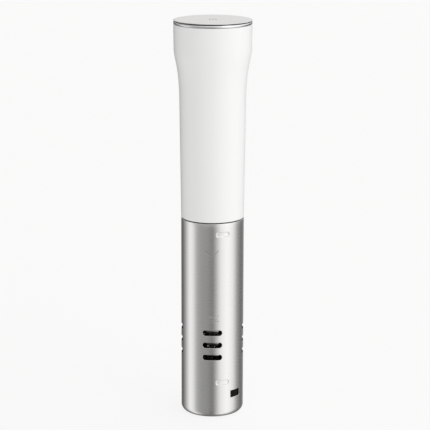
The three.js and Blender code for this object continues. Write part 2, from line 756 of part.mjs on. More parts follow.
function motorBracket() {
  const top = bracketBottom + bracketThickness;
  const ears = railAngles.map((angle) => sector(bracketEar.from, railBore - gap, angle, bracketEar.width,
    bracketBottom, top));
  const plate = joined([rod(motorRadius, bracketBottom, top, [0, 0], roundSides), ...ears]);
  return cut(plate, [
    rod(bracketBore, 0, top + 1, [0, 0], innerSides),
    ...motorScrewHoles(0, top + 1),
    ...railAngles.map((angle) => rod(bracketScrew.shank + screwGap, 0, top + 1,
      around(bracketScrewCircle, angle), smallSides)),
  ]);
}

function motorCan() {
  const nose = motorBottom - bracketThickness - noseDrop;
  const bore = motorShaft + motorPlay.can;
  const inside = motorRadius - motorWall;
  const floor = motorBottom + motorFloor;
  const can = turned(outlineOf([
    [bore, nose], [motorNose, nose], [motorNose, motorBottom], [motorRadius, motorBottom],
    [motorRadius, motorTop], [inside, motorTop], [inside, floor], [bore, floor],
  ]));
  return cut(can, motorScrewHoles(motorBottom - 1, floor - gap));
}

function motorMagnet(angle) {
  const outer = motorRadius - motorWall - gap;
  return sector(outer - magnetThickness, outer, angle, magnetWidth,
    motorBottom + magnetEnds.bottom, motorTop - magnetEnds.top);
}

function motorRotor() {
  const stackBottom = motorBottom + stackEnds.bottom;
  const stackTop = motorTop - stackEnds.top;
  const windingTop = stackTop + windingOverhang.top;
  const teeth = evenly(armatureTeeth).map((angle) =>
    sector(motorShaft + 1, armatureRadius, angle, toothWidth, stackBottom, stackTop));
  return joined([
    ...teeth,
    rod(windingRadius, stackBottom - windingOverhang.bottom, windingTop, [0, 0], innerSides),
    rod(commutatorRadius, windingTop, windingTop + commutatorLength),
    rod(motorShaft, bulkheadTop + rotorShaftRise, motorTop + shaftOut),
  ]);
}

function motorEndCap() {
  const skirt = motorRadius - motorWall - gap;
  const bore = motorShaft + motorPlay.cap;
  const seat = motorTop + gap;
  return turned(outlineOf([
    [bore, motorTop - capDepth], [skirt, motorTop - capDepth], [skirt, seat], [motorRadius, seat],
    [motorRadius, motorTop + capRim], [motorNose, motorTop + capRim], [motorNose, motorTop + capBoss],
    [bore, motorTop + capBoss],
  ]));
}

function shaftCoupling() {
  const bottom = bulkheadTop + couplingRise;
  const middle = bulkheadTop + couplingStep;
  const lower = shaftRadius + screwGap;
  const upper = motorShaft + screwGap;
  return turned(outlineOf([
    [lower, bottom], [couplingRadius, bottom], [couplingRadius, bottom + couplingHeight],
    [upper, bottom + couplingHeight], [upper, middle], [lower, middle],
  ]), innerSides);
}

// ---- Boards

function powerBoard() {
  const board = block([-boardHalf, boardHalf], [boardFace, boardBack], [boardBottom, boardTop]);
  return cut(board, [1, -1].map((side) => acrossRod(boardScrew.shank + screwGap, boardFace - 1,
    boardBack + 1, side * (boardHalf - boardScrewInset), boardMiddle)));
}

function onFront({ across, depth, up }) {
  const face = boardFace - gap;
  return block(across, [face - depth, face], up.map((rise) => boardBottom + rise));
}

function onBack({ across, depth, up }) {
  const face = boardBack + gap;
  return block(across, [face, face + depth], up.map((rise) => boardBottom + rise));
}

function capacitor() {
  const { x, radius, lift, up } = capacitorCan;
  const centre = [x, boardFace - gap - radius - lift];
  return rod(radius, boardBottom + up[0], boardBottom + up[1], centre, innerSides);
}

function heatSink() {
  const { count, pitch, thickness, depth } = heatSinkFins;
  const first = heatSinkBase.across[0];
  const fins = Array.from({ length: count }, (unused, i) => first + i * pitch).map((from) =>
    onBack({ across: [from, from + thickness], depth, up: heatSinkBase.up }));
  return joined([onBack(heatSinkBase), ...fins]);
}

function terminalBlock() {
  const bottom = boardBottom + terminalBox.up[0];
  const wells = [1, -1].map((side) => rod(terminalWell.radius, bottom - 1, bottom + terminalWell.depth,
    [side * terminalWell.x, terminalAxis], smallSides));
  return cut(onBack(terminalBox), wells);
}

// From a heater leg up past the motor and into the terminal block
function heaterLead(leg, side) {
  const outer = (motorRadius + bodyBore) / 2;
  const wellTop = boardBottom + terminalBox.up[0] + terminalWell.depth - 2;
  const wellX = side * terminalWell.x;
  return tube([
    pointAt(leg.radius, leg.angle, legTop + gap),
    pointAt(leg.radius, leg.angle, legTop + 3),
    pointAt(outer, leg.angle, bracketBottom - 2),
    pointAt(outer, leg.angle, motorBottom + motorHeight / 2),
    pointAt(outer, leg.angle, motorTop - 2),
    pointAt(outer - 1, side * 150, motorTop + capBoss + 2),
    new THREE.Vector3(side * 16.5, 9, boardBottom + 8),
    new THREE.Vector3(side * 16, terminalAxis + 1, boardBottom + 18),
    new THREE.Vector3(side * 8, terminalAxis, boardBottom + 22),
    new THREE.Vector3(wellX, terminalAxis, wellTop - 4.5),
    new THREE.Vector3(wellX, terminalAxis, wellTop - 2),
    new THREE.Vector3(wellX, terminalAxis, wellTop),
  ], leadRadius, 30);
}

// ---- Head

function headFrame() {
  const bottom = framePlane - frameThickness;
  const plate = ring(headBore - chassisPlay, displayBoardRadius - frameInset, bottom, framePlane);
  const posts = bossAngles.map((angle) => rod(standoffRadius, bottom, framePlane + standoffHeight,
    around(displayBoardRadius - standoffRadius - 0.8, angle + 60)));
  return cut(joined([plate, ...posts]), bossAngles.map((angle) =>
    rod(headScrew.shank + screwGap, 0, framePlane + 1, around(bossCircle, angle), smallSides)));
}

function displayBoard() {
  return rod(displayBoardRadius, displayBoardBottom, displayBoardBottom + boardThickness, [0, 0], roundSides);
}

function digitDisplay() {
  const { across, front, back, rise } = displayWindow;
  return block([-across, across], [front, back],
    [displayBoardBottom + boardThickness + gap, bodyTop + rise]);
}

function buzzer() {
  const top = displayBoardBottom - gap;
  const centre = [0, buzzerSize.y];
  return cut(rod(buzzerSize.radius, top - buzzerSize.height, top, centre, innerSides),
    [rod(buzzerSize.port, top - buzzerSize.height - 1, top - 2, centre, smallSides)]);
}

// Polished ring: a lip round the plate, a shelf under it and a skirt inside the body
function bezelRing() {
  const skirt = headBore - gap;
  const shelf = plateTop - plateThickness - gap;
  const grooveMiddle = skirt - gasketGroove.half + 0.4;
  const line = new THREE.Shape();
  line.moveTo(skirt - bezelSkirt.thickness, bezelBottom - bezelSkirt.depth);
  line.lineTo(skirt, bezelBottom - bezelSkirt.depth);
  line.lineTo(skirt, bezelBottom);
  line.lineTo(bezelRadius - bezelEdge, bezelBottom);
  line.absarc(bezelRadius - bezelEdge, bezelBottom + bezelEdge, bezelEdge, -Math.PI / 2, 0, false);
  line.absarc(bezelRadius - bezelEdge, bezelTop - bezelEdge, bezelEdge, 0, Math.PI / 2, false);
  line.lineTo(bezelRadius - bezelLip, bezelTop);
  line.lineTo(bezelRadius - bezelLip, shelf);
  line.lineTo(grooveMiddle + gasketGroove.half, shelf);
  line.lineTo(grooveMiddle + gasketGroove.half, shelf - gasketGroove.depth);
  line.lineTo(grooveMiddle - gasketGroove.half, shelf - gasketGroove.depth);
  line.lineTo(grooveMiddle - gasketGroove.half, shelf);
  line.lineTo(skirt - bezelSkirt.thickness, shelf);
  return turned(line, shellSides, 1);
}

function plateGasket() {
  const middle = headBore - gap - gasketGroove.half + 0.4;
  const shelf = plateTop - plateThickness - gap;
  const half = gasketGroove.half - 0.2;
  return ring(middle + half, middle - half, shelf - gasketGroove.depth + 0.2, shelf + 0.1, shellSides);
}

function controlPlate() {
  return rod(bezelRadius - bezelLip - plateGap, plateTop - plateThickness, plateTop, [0, 0], shellSides);
}

// ---- The assembly

const circulator = new THREE.Group();

function place(name, solid, finish, [x, y, z] = [0, 0, 0], tip = 0) {
  const mesh = new THREE.Mesh(toGeometry(solid), finish());
  mesh.name = name;
  mesh.position.set(x, y, z);
  mesh.rotation.x = tip;
  circulator.add(mesh);
}

place('steel_sleeve', steelSleeve(), brushedSteel);
place('intake_base', intakeBase(), blackPlastic);

place('drive_shaft', driveShaft(), brightSteel);
place('impeller', impeller(), greyPlastic);
place('impeller_nut', impellerNut(), brightSteel);
place('lower_carrier', lowerCarrier(), greyPlastic);
place('lower_bush', lowerBush(), brass);
place('heater_coil', heaterCoil(), brightSteel);
place('heater_nut_1', heaterNut(feedLeg), brass);
place('heater_nut_2', heaterNut(returnLeg), brass);
rodAngles.forEach((angle, i) => place(`guide_rod_${i + 1}`, guideRod(angle), brightSteel));
place('temperature_probe', temperatureProbe(), brightSteel);
electrodeAngles.forEach((angle, i) => place(`level_electrode_${i + 1}`, levelElectrode(angle), brightSteel));

place('bulkhead', bulkhead(), blackPlastic);
place('bulkhead_seal', bulkheadSeal(), rubber);
place('junction_gasket', junctionGasket(), rubber);
place('shaft_bearing', shaftBearing(), brightSteel);
place('shaft_seal', shaftSeal(), rubber);

place('upper_housing', upperHousing(), whitePlastic);
place('cord_inlet', cordInlet(), blackPlastic);
place('inlet_nut', inletNut(), blackPlastic);
place('chassis', chassis(), greyPlastic);
chassisScrews.forEach((angle, i) => {
  place(`chassis_screw_${i + 1}`, screw(chassisScrew), brightSteel,
    [...around(chassisScrewCircle, angle), chassisFoot + chassisThickness + gap]);
});

place('motor_bracket', motorBracket(), aluminium);
railAngles.forEach((angle, i) => {
  place(`bracket_screw_${i + 1}`, screw(bracketScrew), brightSteel,
    [...around(bracketScrewCircle, angle), bracketBottom - shelfThickness - 2 * gap], Math.PI);
});
place('motor_can', motorCan(), aluminium);
railAngles.forEach((angle, i) => place(`motor_magnet_${i + 1}`, motorMagnet(angle), castMagnet));
place('motor_rotor', motorRotor(), copper);
place('motor_end_cap', motorEndCap(), blackPlastic);
motorScrews.forEach((angle, i) => {
  place(`motor_screw_${i + 1}`, screw(motorScrew), brightSteel,
    [...around(motorScrewCircle, angle), bracketBottom - gap], Math.PI);
});
place('shaft_coupling', shaftCoupling(), brass);

place('power_board', powerBoard(), circuitBoard);
[1, -1].forEach((side, i) => {
  place(`board_screw_${i + 1}`, screw(boardScrew), brightSteel,
    [side * (boardHalf - boardScrewInset), boardFace - gap, boardMiddle], Math.PI / 2);
});
place('transformer', joined([onFront(transformerCore), onFront(transformerWinding)]), yellowTape);
place('capacitor', capacitor(), blackPlastic);
place('relay', onFront(relayBox), blackPlastic);
place('heat_sink', heatSink(), aluminium);
place('terminal_block', terminalBlock(), greyPlastic);
place('heater_lead_1', heaterLead(feedLeg, 1), redWire);
place('heater_lead_2', heaterLead(returnLeg, -1), redWire);

place('head_frame', headFrame(), greyPlastic);
bossAngles.forEach((angle, i) => {
  place(`head_screw_${i + 1}`, screw(headScrew), brightSteel,
    [...around(bossCircle, angle), framePlane + gap]);
});
place('display_board', displayBoard(), circuitBoard);
place('digit_display', digitDisplay(), blackPlastic);
place('buzzer', buzzer(), blackPlastic);
place('bezel_ring', bezelRing(), brightSteel);
place('plate_gasket', plateGasket(), rubber);
place('control_plate', controlPlate(), silverPlate);

export default circulator;
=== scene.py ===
import json
import math

import bmesh
import bpy
from mathutils import Matrix, Vector


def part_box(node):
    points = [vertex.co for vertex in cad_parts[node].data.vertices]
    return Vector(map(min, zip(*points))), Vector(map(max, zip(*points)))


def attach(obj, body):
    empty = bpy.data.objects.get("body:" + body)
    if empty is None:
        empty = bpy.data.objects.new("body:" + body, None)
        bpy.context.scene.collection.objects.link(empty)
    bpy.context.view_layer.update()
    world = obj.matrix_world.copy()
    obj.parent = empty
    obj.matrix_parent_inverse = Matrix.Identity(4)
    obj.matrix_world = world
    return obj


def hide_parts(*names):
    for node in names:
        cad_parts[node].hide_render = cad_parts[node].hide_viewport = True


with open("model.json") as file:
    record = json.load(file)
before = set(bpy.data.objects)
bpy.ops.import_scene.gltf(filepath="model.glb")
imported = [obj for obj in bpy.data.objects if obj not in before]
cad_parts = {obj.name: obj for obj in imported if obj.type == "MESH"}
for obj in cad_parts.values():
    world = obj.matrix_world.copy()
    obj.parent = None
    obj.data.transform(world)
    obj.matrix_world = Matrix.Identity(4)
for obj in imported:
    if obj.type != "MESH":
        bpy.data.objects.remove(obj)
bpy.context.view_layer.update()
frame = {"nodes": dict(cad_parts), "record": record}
mm = 0.001
seat = 0.3 * mm  # play between two pieces that touch


# Shader sums written as plain arithmetic

class Wire:
    def __init__(self, paint, socket):
        self.paint = paint
        self.socket = socket

    def sum(self, operation, first, second=None):
        return self.paint.node("ShaderNodeMath", {"operation": operation}, {0: first, 1: second})

    def clamped(self):
        return self.paint.node("ShaderNodeClamp", {}, {"Value": self})


def addOperator(method, operation, swapped=False):
    def run(self, other=None):
        first, second = (other, self) if swapped else (self, other)
        return self.sum(operation, first, second)
    setattr(Wire, method, run)


for method, operation in {
        "__add__": "ADD", "__sub__": "SUBTRACT", "__mul__": "MULTIPLY", "__truediv__": "DIVIDE",
        "__pow__": "POWER", "__lt__": "LESS_THAN", "__gt__": "GREATER_THAN", "__abs__": "ABSOLUTE",
        "larger": "MAXIMUM", "sine": "SINE"}.items():
    addOperator(method, operation)
for method, operation in {"__radd__": "ADD", "__rsub__": "SUBTRACT", "__rmul__": "MULTIPLY"}.items():
    addOperator(method, operation, swapped=True)


class Board:
    # a shader tree: nodes are added by type, settings first, then socket values or links
    def __init__(self, owner, coordinates):
        owner.use_nodes = True
        self.tree = owner.node_tree
        self.tree.nodes.clear()
        self.place = self.node("ShaderNodeTexCoord", {}, {}, coordinates)

    def plug(self, node, socket, value):
        if value is None:
            return
        if isinstance(value, Wire):
            self.tree.links.new(value.socket, node.inputs[socket])
        else:
            node.inputs[socket].default_value = value

    def node(self, kind, settings, inputs, output=0):
        node = self.tree.nodes.new(kind)
        for key, value in settings.items():
            if key == "stops":
                self.setStops(node.color_ramp, value)
            else:
                setattr(node, key, value)
        for socket, value in inputs.items():
            self.plug(node, socket, value)
        return None if output is None else Wire(self, node.outputs[output])

    def setStops(self, ramp, stops):
        while len(ramp.elements) < len(stops):
            ramp.elements.new(1.0)
        for element, (position, colour) in zip(ramp.elements, stops):
            element.position = position
            element.color = (*colour, 1.0) if len(colour) == 3 else colour

    def axes(self):
        node = self.tree.nodes.new("ShaderNodeSeparateXYZ")
        self.plug(node, 0, self.place)
        return [Wire(self, socket) for socket in node.outputs]

    def stretched(self, scale):
        return self.node("ShaderNodeMapping", {}, {"Vector": self.place, "Scale": scale})

    def noise(self, scale, detail=2.0, roughness=0.5, vector=None, seed=0.0):
        return self.node("ShaderNodeTexNoise", {"noise_dimensions": "4D"}, {
            "Vector": vector or self.place, "W": seed, "Scale": scale, "Detail": detail,
            "Roughness": roughness})

    def mixed(self, amount, first, second):
        node = self.tree.nodes.new("ShaderNodeMix")
        node.data_type = "RGBA"
        self.plug(node, 0, amount)
        self.plug(node, 6, first if isinstance(first, Wire) else (*first, 1.0))
        self.plug(node, 7, second if isinstance(second, Wire) else (*second, 1.0))
        return Wire(self, node.outputs[2])

    def bump(self, height, strength, distance, under=None):
        return self.node("ShaderNodeBump", {}, {
            "Height": height, "Strength": strength, "Distance": distance, "Normal": under})


class Paint(Board):
    # a material with one principled shader, whose even values are given as surface
    def __init__(self, name, **surface):
        self.material = bpy.data.materials.new(name)
        super().__init__(self.material, "Object")
        output = self.tree.nodes.new("ShaderNodeOutputMaterial")
        self.shader = self.tree.nodes.new("ShaderNodeBsdfPrincipled")
        self.tree.links.new(self.shader.outputs[0], output.inputs["Surface"])
        for socket, value in surface.items():
            self.set(socket.replace("_", " "), value)

    def set(self, socket, value):
        self.plug(self.shader, socket, value)

    def mattShade(self, amount, colour):
        # where amount is 1 the surface is plain matt colour, used to paint shade
        output = next(node for node in self.tree.nodes if node.type == "OUTPUT_MATERIAL")
        matt = self.tree.nodes.new("ShaderNodeBsdfDiffuse")
        matt.inputs["Color"].default_value = (*colour, 1.0)
        mix = self.tree.nodes.new("ShaderNodeMixShader")
        self.plug(mix, 0, amount)
        self.tree.links.new(self.shader.outputs[0], mix.inputs[1])
        self.tree.links.new(matt.outputs[0], mix.inputs[2])
        self.tree.links.new(mix.outputs[0], output.inputs["Surface"])

    def grained(self, fine, broad, base, shade, rough, fineRough, broadRough, bump):
        # the broad noise sways colour and gloss, and the fine one makes the grain
        self.set("Base Color", self.mixed(broad, base, shade))
        self.set("Roughness", rough + (fine - 0.5) * fineRough + (broad - 0.5) * broadRough)
        self.set("Normal", self.bump(fine, *bump))
        return self.material


# Materials

def scaled(colour, factor):
    return tuple(part * factor for part in colour)


steel = {
    "base": (0.66, 0.655, 0.65), "pale": 1.08, "rough": 0.27, "grainPitch": 9000,
    "grainShade": 0.3, "grainRough": 0.05, "grainBump": (0.04, 0.02 * mm),
    "cloudShade": 0.15, "cloudRough": 0.03,
    # painted shade: the tube's inside is painted near-black matt, standing in for the shade inside it
    "inside": (0.02, 0.02, 0.02), "innerSkin": 0.68 * mm,
    "cutSkin": 0.2 * mm,  # painted shade: the slots' cut edges are painted as dark as the inside of the tube
    # the depth arrow and the level mark, etched at the front; their turns and halves are in degrees
    "etched": (0.30, 0.30, 0.30), "etchBlend": 0.85, "etchRough": 0.15, "etchBump": (0.5, 0.1 * mm),
    "arrowTurn": -1.0, "arrowHalf": 12.5, "arrowFoot": 155.8 * mm, "arrowRise": 5.6 * mm,
    "arrowLine": 1.0 * mm, "levelTurn": 3.0, "levelFoot": 94.0 * mm, "levelLine": 0.7 * mm, "levelHalf": 9.0,
    "waveFoot": 98.2 * mm, "waveSwing": 1.5 * mm, "waves": 3,
}


def etchedMarks(x, y, z):
    # a chevron that points down to the water, and ripples over a line at the lowest level
    turn = x.sum("ARCTAN2", x, 0.0 - y) * math.degrees(1)
    front = y < 0.0
    fromArrow = abs(turn - steel["arrowTurn"])
    arrowLevel = steel["arrowFoot"] + fromArrow * (steel["arrowRise"] / steel["arrowHalf"])
    arrow = (abs(z - arrowLevel) < steel["arrowLine"] / 2) * (fromArrow < steel["arrowHalf"])
    fromLevel = turn - steel["levelTurn"]
    within = abs(fromLevel) < steel["levelHalf"]
    line = abs(z - steel["levelFoot"]) < steel["levelLine"] / 2
    ripple = (fromLevel * (math.pi * steel["waves"] / steel["levelHalf"])).sine()
    wave = abs(z - steel["waveFoot"] - ripple * steel["waveSwing"]) < steel["levelLine"] / 2
    return front * (arrow + (line + wave) * within).clamped()


def sleeveSteelPaint():
    # drawn tube, brushed round and round, so its highlights stretch along the length
    paint = Paint("sleeveSteel", Metallic=1.0, Anisotropic=0.6, Anisotropic_Rotation=0.25)
    x, y, z = paint.axes()
    grain = paint.noise(1.0, 3.0, 0.6, paint.stretched((60, 60, steel["grainPitch"])))
    cloud = paint.noise(14.0, 2.0, 0.5, seed=3.0)
    # depth under the outer face, which bends in round the bottom edge
    edge = sleeve["bottomEdge"]
    out = ((x * x + y * y) ** 0.5 - (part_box("steel_sleeve")[1].x - edge)).larger(0.0)
    down = (edge - z).larger(0.0)
    depth = edge - (out * out + down * down) ** 0.5
    cutLow = sleeve["slotFirst"] - sleeve["slotHeight"]
    cutHigh = sleeve["slotFirst"] + 2 * sleeve["slotPitch"] + sleeve["slotHeight"]
    inCuts = (z > cutLow) * (z < cutHigh) * (depth > steel["cutSkin"])
    # painted shade mask: the inner face and the slots' cut edges, where shade falls inside the tube
    inside = (depth > steel["innerSkin"]).larger(inCuts)
    marks = etchedMarks(x, y, z)
    shade = grain * steel["grainShade"] + cloud * steel["cloudShade"]
    skin = paint.mixed(shade, steel["base"], scaled(steel["base"], steel["pale"]))
    paint.set("Base Color", paint.mixed(marks * steel["etchBlend"], skin, steel["etched"]))
    rough = steel["rough"] + (grain - 0.5) * steel["grainRough"] + (cloud - 0.5) * steel["cloudRough"]
    paint.set("Roughness", rough + marks * steel["etchRough"])
    # paints that shade as a near-black matt colour
    paint.mattShade(inside, steel["inside"])
    brushed = paint.bump(grain, *steel["grainBump"])
    paint.set("Normal", paint.bump(1.0 - marks, *steel["etchBump"], brushed))
    return paint.material


def whiteShellPaint():
    # glossy moulding with a slight orange peel
    base = (0.80, 0.80, 0.795)
    paint = Paint("whiteShell", Coat_Weight=0.08, Coat_Roughness=0.1, Specular_IOR_Level=0.25)
    peel = paint.noise(900.0, 1.0, 0.4, seed=5.0)
    cloud = paint.noise(30.0, 3.0, 0.5)
    return paint.grained(peel, cloud, base, scaled(base, 0.985), rough=0.2, fineRough=0.0, broadRough=0.04,
                         bump=(0.03, 0.02 * mm))


def bezelPaint():
    # polished metal, with painted shade: the groove under its rim is painted black, where shade falls
    paint = Paint("bezelChrome")
    x, y, z = paint.axes()
    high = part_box("bezel_ring")[1]
    slack = 0.01 * mm
    grooveTop = high.z - bezel["rim"] - slack
    grooveFoot = grooveTop - bezel["grooveHeight"] + 2 * slack
    within = (x * x + y * y) ** 0.5 < high.x - bezel["grooveDepth"] * 0.6
    # painted shade mask: the recessed groove is painted near-black and matt
    grooveShade = (z < grooveTop) * (z > grooveFoot) * within
    haze = paint.noise(120.0, 3.0)
    lines = paint.noise(1.0, 2.0, 0.5, paint.stretched((40, 40, 7000)), 2.0)
    metal = paint.mixed(haze, (0.62, 0.62, 0.63), (0.66, 0.66, 0.66))
    paint.set("Base Color", paint.mixed(grooveShade, metal, (0.008, 0.008, 0.008)))
    paint.set("Metallic", 1.0 - grooveShade)
    paint.set("Roughness", 0.1 + haze * 0.04 + lines * 0.02 + grooveShade * 0.5)
    return paint.material


def platePaint():
    # satin touch plate with the power symbol printed at its middle
    paint = Paint("touchPlate", Metallic=0.75)
    x, y, _ = paint.axes()
    radius = (x * x + y * y) ** 0.5
    ringMark = abs(radius - plate["symbolRadius"]) < plate["symbolLine"] / 2
    notch = (abs(x) < plate["symbolGap"]) * (y > 0.0)
    barFoot, barTop = (plate["symbolRadius"] * share for share in plate["symbolBar"])
    bar = (abs(x) < plate["symbolLine"] / 2) * (y > barFoot) * (y < barTop)
    mark = (ringMark * (1.0 - notch)).larger(bar)
    grain = paint.noise(1.0, 3.0, 0.6, paint.stretched((50, 5000, 50)))
    metal = paint.mixed(grain, (0.66, 0.655, 0.655), (0.72, 0.715, 0.715))
    paint.set("Base Color", paint.mixed(mark, metal, (0.05, 0.05, 0.055)))
    paint.set("Roughness", 0.36 + (grain - 0.5) * 0.1 + mark * 0.2)
    paint.set("Normal", paint.bump(grain, 0.05, 0.02 * mm))
    return paint.material


def mouldedPaint(name, base, rough, grainScale=2200.0, depth=0.25, specular=0.5):
    # spark-eroded plastic or rubber, a little paler where it is smeared
    paint = Paint(name, Specular_IOR_Level=specular)
    grain = paint.noise(grainScale, 2.0)
    smear = paint.noise(60.0, 3.0, 0.5, seed=1.0)
    worn = tuple(min(1.0, part + 0.004) for part in scaled(base, 1.35))
    return paint.grained(grain, smear, base, worn, rough, fineRough=0.12, broadRough=0.1,
                         bump=(depth, 0.04 * mm))


def turnedMetalPaint(name, base, rough):
    # fine turning lines round the stick's axis
    paint = Paint(name, Metallic=1.0)
    lines = paint.noise(1.0, 3.0, 0.6, paint.stretched((300, 300, 4000)))
    blotch = paint.noise(90.0, 3.0, 0.5, seed=4.0)
    return paint.grained(lines, blotch, base, scaled(base, 0.82), rough, fineRough=0.12, broadRough=0.1,
                         bump=(0.08, 0.03 * mm))


def heaterPaint():
    # polished tube, a little straw-coloured where it runs hottest
    paint = Paint("heaterTube", Metallic=1.0)
    heat = paint.noise(35.0, 2.0)
    scale = paint.noise(700.0, 3.0, 0.6, seed=2.0)
    paint.set("Base Color", paint.mixed(heat, (0.30, 0.295, 0.29), (0.24, 0.22, 0.19)))
    paint.set("Roughness", 0.07 + scale * 0.05)
    return paint.material


def boardPaint():
    # solder mask with paler tracks
    paint = Paint("circuitBoard")
    tracks = paint.node("ShaderNodeTexBrick", {"offset": 0.37}, {
        "Vector": paint.place, "Scale": 240.0, "Mortar Size": 0.03, "Brick Width": 0.9}, "Fac")
    paint.set("Base Color", paint.mixed(tracks, (0.012, 0.10, 0.045), (0.03, 0.2, 0.09)))
    paint.set("Roughness", 0.35 + tracks * 0.1)
    paint.set("Coat Weight", 0.3)
    paint.set("Normal", paint.bump(tracks, 0.3, 0.03 * mm))
    return paint.material


# Pieces of revolution with holes and dents, on a grid of angle and height

class TurnedShell:
    # surface(side, angle, level) gives a point; side 0 is outside, side 1 is inside
    # a feature's place is the angle and level of its middle, and the shell's radius there
    def __init__(self, name, surface, columns, levels):
        self.name = name
        self.surface = surface
        self.columns = columns
        self.levels = levels
        self.points = []
        self.faces = []
        self.grid = {}
        self.taken = set()

    def angle(self, column):
        return 2 * math.pi * column / self.columns

    def add(self, point):
        self.points.append(point)
        return len(self.points) - 1

    def at(self, side, column, row):
        key = (side, column % self.columns, row)
        if key not in self.grid:
            self.grid[key] = self.add(self.surface(side, self.angle(column), self.levels[row]))
        return self.grid[key]

    def quad(self, side, corners):
        self.faces.append(tuple(corners) if side == 0 else tuple(reversed(corners)))

    def bridge(self, chain, side=0):
        # rows of faces between each ring of the chain and the next
        for first, second in zip(chain, chain[1:]):
            count = len(first)
            for i in range(count):
                j = (i + 1) % count
                self.quad(side, (first[i], first[j], second[j], second[i]))

    def rowNear(self, level):
        return min(range(len(self.levels)), key=lambda row: abs(self.levels[row] - level))

    def patch(self, place, halfAngle, halfHeight):
        # takes out the block of cells round a feature, and gives the cells of its border
        angle, level, _ = place
        first = round((angle - halfAngle) / 360 * self.columns)
        last = round((angle + halfAngle) / 360 * self.columns)
        low, high = self.rowNear(level - halfHeight), self.rowNear(level + halfHeight)
        for column in range(first, last):
            for row in range(low, high):
                self.taken.add((column % self.columns, row))
        border = [(column, low) for column in range(first, last)]
        border += [(last, row) for row in range(low, high)]
        border += [(column, high) for column in range(last, first, -1)]
        border += [(first, row) for row in range(high, low, -1)]
        return border

    def local(self, cell, place):
        # a cell's corner as its way across and up from the feature's middle
        column, row = cell
        angle, level, radius = place
        return Vector(((self.angle(column) - math.radians(angle)) * radius, self.levels[row] - level))

    def depthPoint(self, spot, depth, place):
        # depth 0 is the outer face and 1 the inner one
        angle, level, radius = place
        turn = math.radians(angle) + spot.x / radius
        outer = self.surface(0, turn, level + spot.y)
        inner = self.surface(1, turn, level + spot.y)
        return outer.lerp(inner, depth)

    def outline(self, spot, core, reach):
        # nearest point on a rounded rectangle: a core box grown by reach
        held = Vector((max(-core[0], min(core[0], spot.x)), max(-core[1], min(core[1], spot.y))))
        away = spot - held
        return held + away.normalized() * reach if away.length > 1e-9 else held

    def hole(self, place, halfAngle, halfHeight, core, reach, wall, edge):
        # a hole through both faces, with its rims rounded by edge
        border = self.patch(place, halfAngle, halfHeight)
        spots = [self.local(cell, place) for cell in border]

        def ringAt(grow, depth, share=1.0):
            goals = [spot.lerp(self.outline(spot, core, reach + grow), share) for spot in spots]
            return [self.add(self.depthPoint(goal, depth, place)) for goal in goals]

        rims = []
        for side in (0, 1):
            chain = [[self.at(side, *cell) for cell in border]]
            chain += [ringAt(edge, side, share) for share in (0.4, 0.7, 0.9, 1.0)]
            self.bridge(chain, side)
            rims.append(chain[-1])
        steps = 4
        bends = [math.pi / 2 * step / steps for step in range(1, steps + 1)]
        path = [(edge * (1 - math.sin(bend)), edge / wall * (1 - math.cos(bend))) for bend in bends]
        path += [(grow, 1 - depth) for grow, depth in reversed(path)]
        self.bridge([rims[0]] + [ringAt(grow, depth) for grow, depth in path] + [rims[1]])

    def dent(self, place, halfAngle, halfHeight, core, reach, depth, slope):
        # both faces pressed in by depth, over a slope that starts just outside the outline
        border = self.patch(place, halfAngle, halfHeight)
        spots = [self.local(cell, place) for cell in border]
        shoulder, run = reach + slope * 0.5, slope * 1.5
        goals = [[spot.lerp(self.outline(spot, core, shoulder), share) for spot in spots]
                 for share in (0.4, 0.75)]
        steps = [shoulder - run * share for share in (0, 0.15, 0.3, 0.5, 0.7, 0.85, 1)]
        steps += [steps[-1] * share for share in (0.5, 0.0)]
        goals += [[self.outline(spot, core, step) for spot in spots] for step in steps]

        def pressed(spot, side):
            away = (spot - self.outline(spot, core, 0.0)).length
            share = min(1.0, max(0.0, (shoulder - away) / run))
            press = depth * share * share * (3 - 2 * share)
            point = self.depthPoint(spot, side, place)
            return point - Vector((point.x, point.y, 0)).normalized() * press

        for side in (0, 1):
            chain = [[self.at(side, *cell) for cell in border]]
            chain += [[self.add(pressed(spot, side)) for spot in goal] for goal in goals]
            self.bridge(chain, side)

    def closeSides(self, ends):
        # fills the cells that are left, and joins the faces below the first and above the last level
        rows = len(self.levels)
        for side in (0, 1):
            for column in range(self.columns):
                for row in range(rows - 1):
                    if (column, row) not in self.taken:
                        self.quad(side, (self.at(side, column, row), self.at(side, column + 1, row),
                                         self.at(side, column + 1, row + 1), self.at(side, column, row + 1)))
        for row, path in zip((0, rows - 1), ends):
            chain = [[self.at(0, column, row) for column in range(self.columns)]]
            for radius, height in path:
                chain.append([self.add(around(radius, self.angle(column), height))
                              for column in range(self.columns)])
            chain.append([self.at(1, column, row) for column in range(self.columns)])
            self.bridge(chain, 1 if row == 0 else 0)

    def build(self, paint):
        return meshPiece(self.name, self.points, self.faces, paint)


def around(radius, turn, height):
    # turn is in radians from the front, growing towards +X
    return Vector((radius * math.sin(turn), -radius * math.cos(turn), height))


def sceneObject(name, data):
    item = bpy.data.objects.new(name, data)
    bpy.context.scene.collection.objects.link(item)
    return item


def meshPiece(name, points, faces, paint, smooth=True):
    mesh = bpy.data.meshes.new(name)
    mesh.from_pydata([tuple(p) for p in points], [], faces)
    work = bmesh.new()
    work.from_mesh(mesh)
    bmesh.ops.remove_doubles(work, verts=work.verts, dist=1e-7)
    bmesh.ops.recalc_face_normals(work, faces=work.faces)
    work.to_mesh(mesh)
    work.free()
    if smooth:
        mesh.shade_smooth()
    mesh.materials.append(paint)
    return sceneObject(name, mesh)


def arcPath(centre, radius, start, stop, steps):
    # points of an arc in radius and height, angles in degrees
    turns = [math.radians(start + (stop - start) * i / steps) for i in range(steps + 1)]
    return [(centre[0] + radius * math.cos(t), centre[1] + radius * math.sin(t)) for t in turns]


def sharpen(piece, angle):
    # edges that turn by more than the angle stay crisp
    piece.data.set_sharp_from_angle(angle=math.radians(angle))


